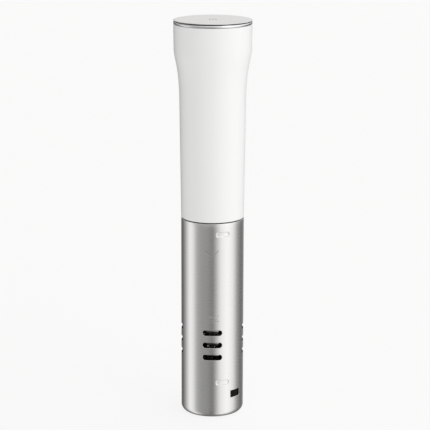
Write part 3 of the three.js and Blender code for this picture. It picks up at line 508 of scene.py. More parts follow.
def lathe(name, outline, columns, paint, reach=None):
    # a closed outline of radius and height, turned about the stick's axis
    # reach(i, radius, turn) gives the radius of a section that isn't round
    points, faces = [], []
    count = len(outline)
    for column in range(columns):
        turn = 2 * math.pi * column / columns
        points += [around(reach(i, r, turn) if reach else r, turn, z) for i, (r, z) in enumerate(outline)]
        a, b = column * count, (column + 1) % columns * count
        for i in range(count):
            j = (i + 1) % count
            if outline[i][0] > 1e-9 or outline[j][0] > 1e-9:
                faces.append((a + i, b + i, b + j, a + j))
    return meshPiece(name, points, faces, paint)


def movedTo(piece, middle):
    # from the stick's axis to the axis of its own node
    piece.data.transform(Matrix.Translation((middle.x, middle.y, 0)))
    return piece


def finishPiece(piece, body, slot, *nodes):
    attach(piece, body)
    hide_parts(*nodes)
    return piece


# Steel sleeve

sleeve = {
    "columns": 180, "wall": 0.8 * mm, "bottomEdge": 6 * mm, "mouth": 19 * mm, "punchedEdge": 0.22 * mm,
    "slotFirst": 59.05 * mm, "slotPitch": 11.75 * mm, "slotHeight": 5.2 * mm, "slotLength": 18.5 * mm,
    "slotSides": 4, "slotRows": 3, "slotPatch": 22,
    "dimpleAngle": 19.6, "dimpleLength": 12.6 * mm, "dimpleHeight": 4.4 * mm, "dimpleDepth": 0.48 * mm,
    "dimpleSlope": 0.3 * mm, "dimpleCount": 3, "dimplePatch": (18, 5 * mm),
    "upperDimple": 176 * mm, "lowerDimple": 34.5 * mm,
    "windowAngle": 47.9, "windowLength": 12.1 * mm, "windowHeight": 6.8 * mm, "windowLevel": 22.0 * mm,
    "windowCorner": 0.35 * mm, "windowEdge": 0.15 * mm, "windowCount": 2, "windowPatch": (13, 6 * mm),
    "topEdge": 0.25 * mm, "plainLevels": (10, 46, 100, 115, 130, 145, 160), "patchRows": 8,
}


def sleeveLevels(height):
    patches = [(sleeve["windowLevel"], sleeve["windowPatch"][1])]
    patches += [(sleeve[level], sleeve["dimplePatch"][1]) for level in ("lowerDimple", "upperDimple")]
    patches += [(sleeve["slotFirst"] + row * sleeve["slotPitch"], sleeve["slotPitch"] / 2)
                for row in range(sleeve["slotRows"])]
    rows = [sleeve["bottomEdge"], height - sleeve["topEdge"]]
    rows += [level * mm for level in sleeve["plainLevels"]]
    count = sleeve["patchRows"]
    for middle, half in patches:
        rows += [middle - half + 2 * half * i / count for i in range(count + 1)]
    return sorted(set(round(row, 7) for row in rows))


def steelSleeve(paint):
    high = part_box("steel_sleeve")[1]
    radius, height, wall = high.x, high.z, sleeve["wall"]

    def surface(side, turn, level):
        return around(radius - wall * side, turn, level)

    shell = TurnedShell("sleeveTube", surface, sleeve["columns"], sleeveLevels(height))
    half, pitch = sleeve["slotHeight"] / 2, sleeve["slotPitch"]
    for side in range(sleeve["slotSides"]):
        for row in range(sleeve["slotRows"]):
            place = (side * 360 / sleeve["slotSides"], sleeve["slotFirst"] + row * pitch, radius)
            shell.hole(place, sleeve["slotPatch"], pitch / 2, (sleeve["slotLength"] / 2 - half, 0), half,
                       wall, sleeve["punchedEdge"])
    half = sleeve["dimpleHeight"] / 2
    for i in range(sleeve["dimpleCount"]):
        angle = sleeve["dimpleAngle"] + i * 360 / sleeve["dimpleCount"]
        for level in (sleeve["lowerDimple"], sleeve["upperDimple"]):
            shell.dent((angle, level, radius), *sleeve["dimplePatch"], (sleeve["dimpleLength"] / 2 - half, 0),
                       half, sleeve["dimpleDepth"], sleeve["dimpleSlope"])
    corner = sleeve["windowCorner"]
    core = (sleeve["windowLength"] / 2 - corner, sleeve["windowHeight"] / 2 - corner)
    for i in range(sleeve["windowCount"]):
        place = (sleeve["windowAngle"] + i * 360 / sleeve["windowCount"], sleeve["windowLevel"], radius)
        shell.hole(place, *sleeve["windowPatch"], core, corner, wall, sleeve["windowEdge"])
    bend, lip, edge = sleeve["bottomEdge"], wall / 2, sleeve["topEdge"]
    flat = radius - bend
    rim = (sleeve["mouth"] + lip, lip)
    bottom = arcPath((flat, bend), bend, 0, -90, 10)[1:]
    bottom += [(rim[0], 0.0)] + arcPath(rim, lip, -90, -270, 8)[1:]
    bottom += [(flat, wall)] + arcPath((flat, bend), bend - wall, -90, 0, 10)[1:-1]
    top = arcPath((radius - edge, height - edge), edge, 0, 90, 4)[1:]
    top += arcPath((radius - wall + edge, height - edge), edge, 90, 180, 4)[:-1]
    shell.closeSides((bottom, top))
    return finishPiece(shell.build(paint), "sleeve", "sleeve_steel", "steel_sleeve")


# White body

bodyShell = {
    "columns": 144, "wall": 2.4 * mm, "neckGain": 1.5 * mm, "headDraft": 0.25 * mm, "headHeight": 21.6 * mm,
    "flareHeight": 46 * mm, "pullLow": 30 * mm, "pullHigh": 11 * mm, "rim": 0.5 * mm, "foot": 0.35 * mm,
    "innerRim": 0.2 * mm, "inletLevel": 342.7 * mm, "inletHole": 4.8 * mm, "inletEdge": 0.3 * mm,
    "inletPatch": (15, 9 * mm), "footBand": 3 * mm, "headLevels": (358 * mm, 363 * mm),
}


def bodyLine(low, high):
    # height and radius of the outside, from the seam to the bezel
    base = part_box("steel_sleeve")[1].x
    shoulder = Vector((high.x - bodyShell["headDraft"], high.z - bodyShell["headHeight"]))
    neck = Vector((base + bodyShell["neckGain"], shoulder.y - bodyShell["flareHeight"]))
    taper = bodyShell["neckGain"] / (neck.y - low.z)
    handles = [neck, neck + Vector((taper, 1)) * bodyShell["pullLow"],
               shoulder - Vector((taper, 1)) * bodyShell["pullHigh"], shoulder]
    line = [Vector((base, low.z))]
    steps = 36
    for i in range(steps + 1):
        t = i / steps
        weights = ((1 - t) ** 3, 3 * t * (1 - t) ** 2, 3 * t * t * (1 - t), t ** 3)
        line.append(sum((h * w for h, w in zip(handles, weights)), Vector((0, 0))))
    line.append(Vector((high.x, high.z)))
    return line


def radiusAt(line, level):
    for a, b in zip(line, line[1:]):
        if level <= b.y or b is line[-1]:
            return a.x + (b.x - a.x) * (level - a.y) / (b.y - a.y)


def whiteBody(paint):
    low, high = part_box("upper_housing")
    line = bodyLine(low, high)
    wall, foot, rim = bodyShell["wall"], bodyShell["foot"], bodyShell["rim"]

    def surface(side, turn, level):
        return around(radiusAt(line, level) - wall * side, turn, level)

    levels = [low.z + foot, low.z + bodyShell["footBand"]]
    levels += [low.z + (line[1].y - low.z) * i / 8 for i in range(1, 8)]
    levels += [point.y for point in line[1:-1:2]]
    inlet, reach = bodyShell["inletLevel"], bodyShell["inletPatch"][1]
    levels = [level for level in levels if abs(level - inlet) > reach + 1 * mm]
    levels += [inlet - reach + 2 * reach * i / 10 for i in range(11)]
    levels += [*bodyShell["headLevels"], high.z - rim]
    shell = TurnedShell("whiteBody", surface, bodyShell["columns"], sorted(levels))
    shell.hole((180, inlet, radiusAt(line, inlet)), *bodyShell["inletPatch"], (0, 0), bodyShell["inletHole"],
               wall, bodyShell["inletEdge"])
    base, inner = line[0].x, bodyShell["innerRim"]
    bottom = arcPath((base - foot, low.z + foot), foot, 0, -90, 4)[1:]
    bottom += arcPath((base - wall + foot, low.z + foot), foot, -90, -180, 4)[:-1]
    top = arcPath((high.x - rim, high.z - rim), rim, 0, 90, 5)[1:]
    top += arcPath((high.x - wall + inner, high.z - inner), inner, 90, 180, 3)[:-1]
    shell.closeSides((bottom, top))
    return finishPiece(shell.build(paint), "root", "white_shell", "upper_housing")


# Head: polished ring and touch plate, and the gasket at the seam

bezel = {
    "lip": 0.5 * mm, "skirt": 5 * mm, "skirtInset": 2.75 * mm, "skirtWall": 1.6 * mm, "rim": 0.2 * mm,
    "grooveHeight": 1.05 * mm, "grooveDepth": 0.4 * mm, "lean": 0.22 * mm, "foot": 0.35 * mm,
    "bandEdge": 0.08 * mm, "rimEdge": 0.06 * mm, "topEdge": 0.12 * mm, "lipEdge": 0.05 * mm,
}


def bezelRing(paint):
    # from the top: thin rim, shadow groove, a band that leans a little, and a chamfered foot
    low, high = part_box("bezel_ring")
    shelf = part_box("control_plate")[0].z - seat
    radius, top, foot = high.x, high.z, bezel["foot"]
    bottom = low.z + bezel["skirt"]
    skirt = radius - bezel["skirtInset"]
    inner = skirt - bezel["skirtWall"]
    rimFoot = top - bezel["rim"]
    bandTop = rimFoot - bezel["grooveHeight"]
    bandRise = bandTop - bottom - foot - bezel["bandEdge"]
    groove = radius - bezel["grooveDepth"]
    lip, rimEdge, topEdge, lipEdge = (bezel[edge] for edge in ("lip", "rimEdge", "topEdge", "lipEdge"))
    outline = [(inner, low.z), (skirt, low.z), (skirt, bottom), (radius - foot, bottom)]
    outline += [(radius - foot * 0.35, bottom + foot * 0.4), (radius, bottom + foot)]
    lean = bezel["lean"]
    outline += [(radius - lean * (i / 6) ** 2, bottom + foot + bandRise * i / 6) for i in range(1, 7)]
    outline += [(radius - lean - bezel["bandEdge"], bandTop), (groove, bandTop), (groove, rimFoot),
                (radius - rimEdge, rimFoot), (radius, rimFoot + rimEdge), (radius, top - topEdge),
                (radius - topEdge, top), (radius - lip + lipEdge, top), (radius - lip, top - lipEdge),
                (radius - lip, shelf), (inner, shelf)]
    piece = lathe("bezelRing", outline, 160, paint)
    sharpen(piece, 35)
    return finishPiece(piece, "root", "bezel_chrome", "bezel_ring")


plate = {"edge": 0.3 * mm, "symbolRadius": 3.2 * mm, "symbolLine": 0.7 * mm, "symbolGap": 0.9 * mm,
         "symbolBar": (0.25, 1.25)}


def touchPlate(paint):
    low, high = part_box("control_plate")
    edge = plate["edge"]
    outline = [(0.0, low.z), (high.x, low.z)]
    outline += arcPath((high.x - edge, high.z - edge), edge, 0, 90, 5)
    outline += [(high.x * share, high.z) for share in (0.9, 0.7, 0.5, 0.3, 0.15)] + [(0.0, high.z)]
    piece = lathe("touchPlate", outline, 160, paint)
    return finishPiece(piece, "root", "silver_plate", "control_plate")


def seamGasket(paint):
    low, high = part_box("junction_gasket")
    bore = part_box("bulkhead")[1].x + 0.2 * mm
    half = (high.z - low.z) / 2
    outline = [(bore, low.z), (high.x - half, low.z)]
    outline += arcPath((high.x - half, low.z + half), half, -90, 90, 6) + [(bore, high.z)]
    return finishPiece(lathe("seamGasket", outline, 144, paint), "root", "seal_rubber", "junction_gasket")


# Heating coil, swept along its path by geometry nodes

coil = {
    "radius": 20.5 * mm, "tube": 3.2 * mm, "pitch": 11.4 * mm, "bottom": 56 * mm, "drop": 20 * mm,
    "dip": 2 * mm, "lead": 26, "perTurn": 12, "feedRadius": 17 * mm, "feedAngle": 135, "feedDrop": 4 * mm,
    "feedOut": 1 * mm, "feedTurn": 2, "feedJoin": 10 * mm,  # where the feed leg bends into the first turn
    "returnRadius": 13.4 * mm, "returnAngle": -135, "returnRise": 8 * mm,
}


def coilPath():
    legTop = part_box("heater_coil")[1].z
    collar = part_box("bulkhead")[0].z
    top = collar - coil["drop"]
    perTurn = coil["perTurn"]
    count = round((top - coil["bottom"]) / coil["pitch"] * perTurn)

    def point(radius, angle, height):
        return around(radius, math.radians(angle), height)

    feed, start = coil["feedRadius"], coil["feedAngle"]
    points = [point(feed, start, height) for height in (legTop, collar, collar - coil["feedDrop"])]
    points.append(point(feed + coil["feedOut"], start + coil["feedTurn"], top + coil["feedJoin"]))
    for i in range(count + 1):
        points.append(point(coil["radius"], start + coil["lead"] + i * 360 / perTurn,
                            top - i * coil["pitch"] / perTurn))
    end = start + coil["lead"] + count * 360 / perTurn
    turnIn = (coil["returnAngle"] - end) % 360
    lowest = top - count * coil["pitch"] / perTurn
    sweep = max(3, math.ceil(turnIn / 30))
    inner = coil["returnRadius"]
    for i in range(1, sweep):
        share = i / sweep
        points.append(point(coil["radius"] + (inner - coil["radius"]) * share ** 2, end + turnIn * share,
                            lowest - coil["dip"] * math.sin(math.pi * share)))
    points += [point(inner, coil["returnAngle"], height)
               for height in (lowest + coil["returnRise"], (lowest + collar) / 2, collar, legTop)]
    return points


def splinePoints(points, perSpan):
    # centripetal curve through the points
    padded = [points[0] * 2 - points[1]] + points + [points[-1] * 2 - points[-2]]
    line = []
    for p0, p1, p2, p3 in zip(padded, padded[1:], padded[2:], padded[3:]):
        t = [0.0]
        for a, b in ((p0, p1), (p1, p2), (p2, p3)):
            t.append(t[-1] + math.sqrt((b - a).length))
        for i in range(perSpan):
            at = t[1] + (t[2] - t[1]) * i / perSpan
            a1 = p0.lerp(p1, (at - t[0]) / (t[1] - t[0]))
            a2 = p1.lerp(p2, (at - t[1]) / (t[2] - t[1]))
            a3 = p2.lerp(p3, (at - t[2]) / (t[3] - t[2]))
            b1 = a1.lerp(a2, (at - t[0]) / (t[2] - t[0]))
            b2 = a2.lerp(a3, (at - t[1]) / (t[3] - t[1]))
            line.append(b1.lerp(b2, (at - t[1]) / (t[2] - t[1])))
    line.append(points[-1])
    return line


class Grower:
    # a geometry node tree with named inputs
    def __init__(self, name):
        self.tree = bpy.data.node_groups.new(name, "GeometryNodeTree")
        self.tree.interface.new_socket("Geometry", in_out="INPUT", socket_type="NodeSocketGeometry")
        self.tree.interface.new_socket("Geometry", in_out="OUTPUT", socket_type="NodeSocketGeometry")
        self.start = self.tree.nodes.new("NodeGroupInput")
        self.end = self.tree.nodes.new("NodeGroupOutput")
        self.values = {}

    def input(self, name, kind, value):
        socket = self.tree.interface.new_socket(name, in_out="INPUT", socket_type=kind)
        self.values[socket.identifier] = value
        return self.start.outputs[name]

    def node(self, kind, settings=None, inputs=None):
        node = self.tree.nodes.new(kind)
        for key, value in (settings or {}).items():
            setattr(node, key, value)
        for socket, value in (inputs or {}).items():
            if isinstance(value, bpy.types.NodeSocket):
                self.tree.links.new(value, node.inputs[socket])
            else:
                node.inputs[socket].default_value = value
        return node

    def grow(self, name, base, last, paint):
        # ends the tree, runs it on base and gives back a plain mesh object
        real = self.node("GeometryNodeRealizeInstances", {}, {0: last})
        dressed = self.node("GeometryNodeSetMaterial", {}, {0: real.outputs[0], "Material": paint})
        self.tree.links.new(dressed.outputs[0], self.end.inputs[0])
        modifier = base.modifiers.new(name, "NODES")
        modifier.node_group = self.tree
        for identifier, value in self.values.items():
            modifier[identifier] = value
        bpy.context.view_layer.update()
        result = bpy.data.meshes.new_from_object(base.evaluated_get(bpy.context.evaluated_depsgraph_get()))
        bpy.data.objects.remove(base)
        result.name = name
        return sceneObject(name, result)


def curveOf(name, points):
    curve = bpy.data.curves.new(name, "CURVE")
    curve.dimensions = "3D"
    spline = curve.splines.new("POLY")
    spline.points.add(len(points) - 1)
    for place, point in zip(spline.points, points):
        place.co = (*point, 1.0)
    return sceneObject(name, curve)


def sweptTube(name, points, radius, sides, paint):
    grower = Grower(name + "Sweep")
    width = grower.input("Radius", "NodeSocketFloat", radius)
    section = grower.node("GeometryNodeCurvePrimitiveCircle", {}, {"Resolution": sides, "Radius": width})
    swept = grower.node("GeometryNodeCurveToMesh", {}, {
        "Curve": grower.start.outputs[0], "Profile Curve": section.outputs[0], "Fill Caps": True})
    smooth = grower.node("GeometryNodeSetShadeSmooth", {}, {0: swept.outputs[0]})
    return grower.grow(name, curveOf(name + "Line", points), smooth.outputs[0], paint)


def heaterCoil(paint):
    piece = sweptTube("heatingCoil", splinePoints(coilPath(), 6), coil["tube"], 28, paint)
    return finishPiece(piece, "root", "heater_steel", "heater_coil")


def wetRods(paint):
    # smooth guide rods, probe and electrodes
    names = ("guide_rod_1", "guide_rod_2", "temperature_probe", "level_electrode_1", "level_electrode_2")
    for name in names:
        low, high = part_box(name)
        radius = (high.x - low.x) / 2
        dome, edge = radius * 0.6, 0.2 * mm
        outline = [(radius * math.sin(t * math.pi / 10), low.z + dome * (1 - math.cos(t * math.pi / 10)))
                   for t in range(6)]
        outline += [(radius, high.z - edge), (radius - edge, high.z), (0.0, high.z)]
        piece = movedTo(lathe(name + "_round", outline, 32, paint), (low + high) / 2)
        finishPiece(piece, "root", "bright_steel", name)


# Wet end: intake base, impeller, shaft

intake = {
    "columns": 180, "edge": 4.7 * mm, "wall": 2.7 * mm, "floor": 2 * mm, "rings": (7.2, 11.6, 16.0),
    "slit": 2.6 * mm, "arcs": 6, "arcHalf": 22, "soft": 0.25 * mm, "middle": 3 * mm, "lip": 0.4 * mm,
}


def softened(piece, angle, width):
    # rounds the edges that turn by more than the angle
    work = bmesh.new()
    work.from_mesh(piece.data)
    crisp = [edge for edge in work.edges if edge.calc_face_angle(0.0) > math.radians(angle)]
    bmesh.ops.bevel(work, geom=crisp, offset=width, segments=2, profile=0.5, affect="EDGES",
                    clamp_overlap=True)
    work.to_mesh(piece.data)
    work.free()
    piece.data.shade_smooth()
    sharpen(piece, 50)
    return piece


def slitAt(ringIndex, column):
    turn = column * 360 / intake["columns"] + 180 / intake["columns"]
    period = 360 / intake["arcs"]
    away = (turn - (period / 2 if ringIndex % 2 else 0) + period / 2) % period - period / 2
    return abs(away) < intake["arcHalf"]


def intakeBase(paint):
    # cup with a floor grille: the same radii below and above the floor, joined round each slit
    low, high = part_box("intake_base")
    radius, edge, floor = high.x, intake["edge"], intake["floor"]
    flat = radius - edge
    bore = radius - intake["wall"]
    radii, slits = [intake["middle"]], {}
    for index, middle in enumerate(intake["rings"]):
        slits[len(radii)] = index
        radii += [middle * mm - intake["slit"] / 2, middle * mm + intake["slit"] / 2]
    radii.append(flat)
    bottom = [(r, low.z) for r in radii]
    top = [(r, low.z + floor) for r in radii]
    wall = arcPath((flat, low.z + edge), edge, -90, 0, 12)[1:]
    lip = intake["lip"]
    wall += arcPath((radius - lip, high.z - lip), lip, 0, 90, 3)
    wall += arcPath((bore + lip, high.z - lip), lip, 90, 180, 3)
    wall += [(bore, low.z + 2 * floor)]
    outline = bottom + wall + top[::-1]
    count = len(outline)
    points, faces = [], []
    for column in range(intake["columns"]):
        points += [around(r, 2 * math.pi * column / intake["columns"], z) for r, z in outline]

    def at(column, i):
        return column % intake["columns"] * count + i

    for column in range(intake["columns"]):
        for i in range(count - 1):
            inner = i if i < len(radii) else count - 2 - i
            onFloor = i < len(radii) - 1 or i > count - len(radii) - 1
            if onFloor and inner in slits and slitAt(slits[inner], column):
                continue
            faces.append((at(column, i), at(column + 1, i), at(column + 1, i + 1), at(column, i + 1)))
        for inner, index in slits.items():
            if not slitAt(index, column):
                continue
            for i in (inner, inner + 1):
                faces.append((at(column, i), at(column + 1, i), at(column + 1, count - 1 - i),
                              at(column, count - 1 - i)))
            for side in (0, 1):
                if not slitAt(index, column + (1 if side else -1)):
                    edgeColumn = column + side
                    faces.append((at(edgeColumn, inner), at(edgeColumn, inner + 1),
                                  at(edgeColumn, count - 2 - inner), at(edgeColumn, count - 1 - inner)))
    faces.append([at(column, 0) for column in range(intake["columns"])])
    faces.append([at(column, count - 1) for column in range(intake["columns"])])
    piece = softened(meshPiece("intakeBase", points, faces, paint), 50, intake["soft"])
    return finishPiece(piece, "intake", "black_plastic", "intake_base")


vanes = {
    "count": 5, "tilt": 35, "twist": 14, "thick": 1.5 * mm, "camber": 0.5 * mm, "rise": 0.46,
    "root": 4.6 * mm, "rows": 10, "across": 8, "tipPlay": 0.15 * mm, "endPlay": 0.1 * mm,
    "hub": 5.6 * mm, "hubFoot": (0.8 * mm, 2.4 * mm), "bore": 3.25 * mm, "edge": 0.6 * mm,
}


def vaneBlade(paint, low, high, tip):
    # one blade: an arched, twisted aerofoil from inside the hub to the tip
    points, faces = [], []
    loopSize = 2 * vanes["across"]
    rise = (high - low) * vanes["rise"]
    for row in range(vanes["rows"] + 1):
        share = row / vanes["rows"]
        out = vanes["root"] + (tip - vanes["tipPlay"] - vanes["root"]) * share
        tilt = math.radians(vanes["tilt"] + vanes["twist"] * (0.5 - share))
        half = rise / math.sin(tilt) * (0.8 + 0.2 * math.sin(math.pi * (0.2 + 0.6 * share)))
        for step in range(loopSize):
            turn = 2 * math.pi * step / loopSize
            along = math.cos(turn) * half
            thick = math.sin(turn) * vanes["thick"] / 2 + vanes["camber"] * (1 - (along / half) ** 2)
            across = along * math.cos(tilt) - thick * math.sin(tilt)
            up = along * math.sin(tilt) + thick * math.cos(tilt)
            level = max(low, min(high, (low + high) / 2 + up))
            flat = Vector((across, -out))
            if flat.length > tip:
                flat *= tip / flat.length
            points.append(Vector((flat.x, flat.y, level)))
    for row in range(vanes["rows"]):
        for step in range(loopSize):
            after = (step + 1) % loopSize
            a, b = row * loopSize, (row + 1) * loopSize
            faces.append((a + step, a + after, b + after, b + step))
    faces.append(list(range(loopSize)))
    faces.append([vanes["rows"] * loopSize + step for step in range(loopSize)])
    return meshPiece("vaneBlade", points, faces, paint)


def joinedPiece(name, paint, *parts):
    work = bmesh.new()
    for part in parts:
        work.from_mesh(part.data)
        bpy.data.objects.remove(part)
    mesh = bpy.data.meshes.new(name)
    work.to_mesh(mesh)
    work.free()
    mesh.materials.clear()
    mesh.materials.append(paint)
    return sceneObject(name, mesh)


def ringOf(grower, geometry, count):
    # copies of the geometry turned about the stick's axis
    number = grower.input("Count", "NodeSocketInt", count)
    spots = grower.node("GeometryNodePoints", {}, {"Count": number})
    index = grower.node("GeometryNodeInputIndex")
    angle = grower.node("ShaderNodeMath", {"operation": "MULTIPLY"}, {
        0: index.outputs[0], 1: 2 * math.pi / count})
    spin = grower.node("ShaderNodeCombineXYZ", {}, {"Z": angle.outputs[0]})
    return grower.node("GeometryNodeInstanceOnPoints", {}, {
        "Points": spots.outputs[0], "Instance": geometry, "Rotation": spin.outputs[0]}).outputs[0]


def roundedOutline(corners, radius, steps=3):
    # closed outline with every corner rounded
    result = []
    count = len(corners)
    for i, corner in enumerate(corners):
        here = Vector(corner)
        before, after = Vector(corners[i - 1]), Vector(corners[(i + 1) % count])
        if here.x < 1e-9:
            result.append(tuple(here))
            continue
        reach = min(radius, (before - here).length * 0.45, (after - here).length * 0.45)
        start = here + (before - here).normalized() * reach
        stop = here + (after - here).normalized() * reach
        for step in range(steps + 1):
            t = step / steps
            result.append(tuple(start.lerp(here, t).lerp(here.lerp(stop, t), t)))
    return result


def impellerWheel(paint):
    low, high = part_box("impeller")
    grower = Grower("vaneRing")
    blade = vaneBlade(paint, low.z + vanes["endPlay"], high.z - vanes["endPlay"], high.x)
    blades = grower.grow("vanes", blade, ringOf(grower, grower.start.outputs[0], vanes["count"]), paint)
    bore, hub = vanes["bore"], vanes["hub"]
    inset, rise = vanes["hubFoot"]
    corners = [(bore, low.z), (hub - inset, low.z), (hub, low.z + rise), (hub, high.z), (bore, high.z)]
    body = lathe("vaneHub", roundedOutline(corners, vanes["edge"]), 48, paint)
    piece = joinedPiece("impellerWheel", paint, blades, body)
    sharpen(piece, 50)
    return finishPiece(piece, "rotor", "grey_plastic", "impeller")


shaft = {
    "radius": 3 * mm, "stub": 2 * mm, "stubLength": 3.4 * mm, "collarHeight": 1.5 * mm, "edge": 0.25 * mm,
    "bore": 3.1 * mm, "boreEdge": 0.5 * mm,
}


def turnedParts(bright, brass, rubber):
    # shaft, bush and seals
    low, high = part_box("drive_shaft")
    stub, radius = shaft["stub"], shaft["radius"]
    stubTop = low.z + shaft["stubLength"]
    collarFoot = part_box("impeller")[1].z + seat
    collarTop = collarFoot + shaft["collarHeight"]
    outline = roundedOutline([
        (0.0, low.z), (stub, low.z), (stub, stubTop), (radius, stubTop), (radius, collarFoot),
        (high.x, collarFoot), (high.x, collarTop), (radius, collarTop), (radius, high.z), (0.0, high.z)],
        shaft["edge"], 2)
    finishPiece(lathe("shaftRod", outline, 40, bright), "rotor", "bright_steel", "drive_shaft")
    for node, slot, paint in (("lower_bush", "bush_brass", brass), ("shaft_seal", "seal_rubber", rubber)):
        low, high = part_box(node)
        bore = shaft["bore"]
        corners = [(bore, low.z), (high.x, low.z), (high.x, high.z), (bore, high.z)]
        piece = lathe(node + "_turned", roundedOutline(corners, shaft["boreEdge"]), 48, paint)
        finishPiece(piece, "root", slot, node)
    low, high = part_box("bulkhead_seal")
    thick = (high.z - low.z) / 2
    outline = arcPath((high.x - thick, low.z + thick), thick, 0, 360, 14)[:-1]
    finishPiece(lathe("sealRing", outline, 120, rubber), "root", "seal_rubber", "bulkhead_seal")


# Cord inlet at the back

inlet = {
    "flange": 0.9 * mm, "barrel": 4.5 * mm, "bore": 3.2 * mm, "flare": 0.9 * mm, "edge": 0.25 * mm,
    "flangeEdge": 0.5 * mm,
}


def aimedBack(piece, level):
    # stands a piece turned about the stick's axis on the head's back
    for vertex in piece.data.vertices:
        x, y, z = vertex.co
        vertex.co = (x, z, level + y)
    piece.data.flip_normals()
    return piece


def cordInlet(paint):
    low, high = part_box("cord_inlet")
    wide = (high.x - low.x) / 2
    bore, barrel, flange = inlet["bore"], inlet["barrel"], inlet["flange"]
    corners = [(bore, low.y), (barrel, low.y), (barrel, high.y - flange), (wide, high.y - flange)]
    outline = roundedOutline(corners, inlet["edge"], 2)
    soft, flare = inlet["flangeEdge"], inlet["flare"]
    outline += arcPath((wide - soft, high.y - soft), soft, 0, 90, 5)
    outline += arcPath((bore + flare, high.y - flare), flare, 90, 180, 6)
    piece = aimedBack(lathe("cordBush", outline, 64, paint), (low.z + high.z) / 2)
    return finishPiece(piece, "root", "black_plastic", "cord_inlet")


# Nuts, motor housing and what stands on the power board

nutForm = {"columns": 72, "bevel": 0.14, "face": 0.86, "mouth": 0.3 * mm}
nuts = {
    "impeller_nut": {"bore": 2.25, "slot": "bright_steel", "body": "rotor"},
    "heater_nut_1": {"bore": 3.45, "slot": "bush_brass", "body": "root"},
    "heater_nut_2": {"bore": 3.45, "slot": "bush_brass", "body": "root"},
    "inlet_nut": {"bore": 4.75, "slot": "black_plastic", "body": "root"},
}


def hexNut(node, paint):
    # six flats with both ends chamfered
    fit = nuts[node]
    low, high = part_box(node)
    backward = node == "inlet_nut"
    size, middle = high - low, (low + high) / 2
    corner = (size.z if backward else size.y) / 2
    start, stop = (low.y, high.y) if backward else (low.z, high.z)
    bore, bevel, face = fit["bore"] * mm, corner * nutForm["bevel"], corner * nutForm["face"]
    mouth = nutForm["mouth"]
    outline = [(bore, start + mouth), (bore + mouth, start), (face, start), (corner, start + bevel),
               (corner, stop - bevel), (face, stop), (bore + mouth, stop), (bore, stop - mouth)]

    def reach(i, radius, turn):
        flat = corner * math.cos(math.pi / 6) / math.cos((turn + math.pi / 6) % (math.pi / 3) - math.pi / 6)
        return min(radius, flat)

    piece = lathe(node + "_cut", outline, nutForm["columns"], paint, reach)
    piece = aimedBack(piece, middle.z) if backward else movedTo(piece, middle)
    sharpen(piece, 25)
    return finishPiece(piece, fit["body"], fit["slot"], node)


motor = {
    "shaftHole": 3.1 * mm, "nose": 6.0 * mm, "floor": 3.0 * mm, "wall": 1.5 * mm, "edge": 1.0 * mm,
    "capHole": 2.9 * mm, "capBoss": 5.5 * mm, "capRim": 3.2 * mm, "capStep": (1.5 * mm, 0.8 * mm),
    "capEdge": 0.7 * mm,
}


def motorHousing(metal, plastic):
    low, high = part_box("motor_can")
    capLow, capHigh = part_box("motor_end_cap")
    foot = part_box("motor_bracket")[1].z + seat
    floor = foot + motor["floor"]
    hole, nose, inner = motor["shaftHole"], motor["nose"], high.x - motor["wall"]
    corners = [(hole, low.z), (nose, low.z), (nose, foot), (high.x, foot), (high.x, high.z), (inner, high.z),
               (inner, floor), (hole, floor)]
    shell = lathe("motorShell", roundedOutline(corners, motor["edge"], 4), 96, metal)
    finishPiece(shell, "root", "plain_aluminium", "motor_can")
    rim = high.z + seat
    top = rim + motor["capRim"]
    plug, boss, hole = inner - seat, motor["capBoss"], motor["capHole"]
    out, up = motor["capStep"]
    corners = [(hole, capLow.z), (plug, capLow.z), (plug, rim), (high.x, rim), (high.x, top),
               (boss + out, top), (boss, top + up), (boss, capHigh.z), (hole, capHigh.z)]
    cap = lathe("motorCap", roundedOutline(corners, motor["capEdge"], 3), 96, plastic)
    finishPiece(cap, "root", "black_plastic", "motor_end_cap")


def extruded(name, outline, low, high, paint):
    # a flat outline, given across and along the depth, drawn up from low to high
    count = len(outline)
    points = [(x, y, z) for z in (low, high) for x, y in outline]
    faces = [(i, (i + 1) % count, count + (i + 1) % count, count + i) for i in range(count)]
    faces += [list(range(count)), list(range(count, 2 * count))]
    piece = meshPiece(name, points, faces, paint)
    sharpen(piece, 40)
    return piece


sink = {
    "fins": 5, "pitch": 5 * mm, "base": 3 * mm, "rootHalf": 1 * mm, "tipHalf": 0.65 * mm, "crown": 0.6 * mm,
    "bite": 0.2 * mm, "heel": 0.3 * mm,
}


def heatSink(paint):
    # tapered fins on a base, as drawn from one die
    low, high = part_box("heat_sink")
    step, count, root, tip = sink["pitch"], sink["fins"], sink["rootHalf"], sink["tipHalf"]
    foot, crown = low.y + sink["base"], high.y - sink["crown"]
    heel = foot + sink["heel"]
    outline = [(-root, foot - sink["bite"]), (root, foot - sink["bite"]), (root, heel), (tip, crown)]
    bends = [math.pi * i / 6 for i in range(1, 6)]
    outline += [(tip * math.cos(bend), crown + sink["crown"] * math.sin(bend)) for bend in bends]
    outline += [(-tip, crown), (-root, heel)]
    fin = extruded("sinkFin", outline, low.z, high.z, paint)
    grower = Grower("finRow")
    number = grower.input("Count", "NodeSocketInt", count)
    first = grower.input("First", "NodeSocketVector", (-step * (count - 1) / 2, 0.0, 0.0))
    pitch = grower.input("Pitch", "NodeSocketVector", (step, 0.0, 0.0))
    row = grower.node("GeometryNodeMeshLine", {}, {"Count": number, "Start Location": first, "Offset": pitch})
    placed = grower.node("GeometryNodeInstanceOnPoints", {}, {
        "Points": row.outputs[0], "Instance": grower.start.outputs[0]})
    fins = grower.grow("sinkFins", fin, placed.outputs[0], paint)
    corners = [(low.x, low.y), (high.x, low.y), (high.x, foot), (low.x, foot)]
    base = extruded("sinkBase", corners, low.z, high.z, paint)
    return finishPiece(joinedPiece("finnedSink", paint, fins, base), "root", "plain_aluminium", "heat_sink")


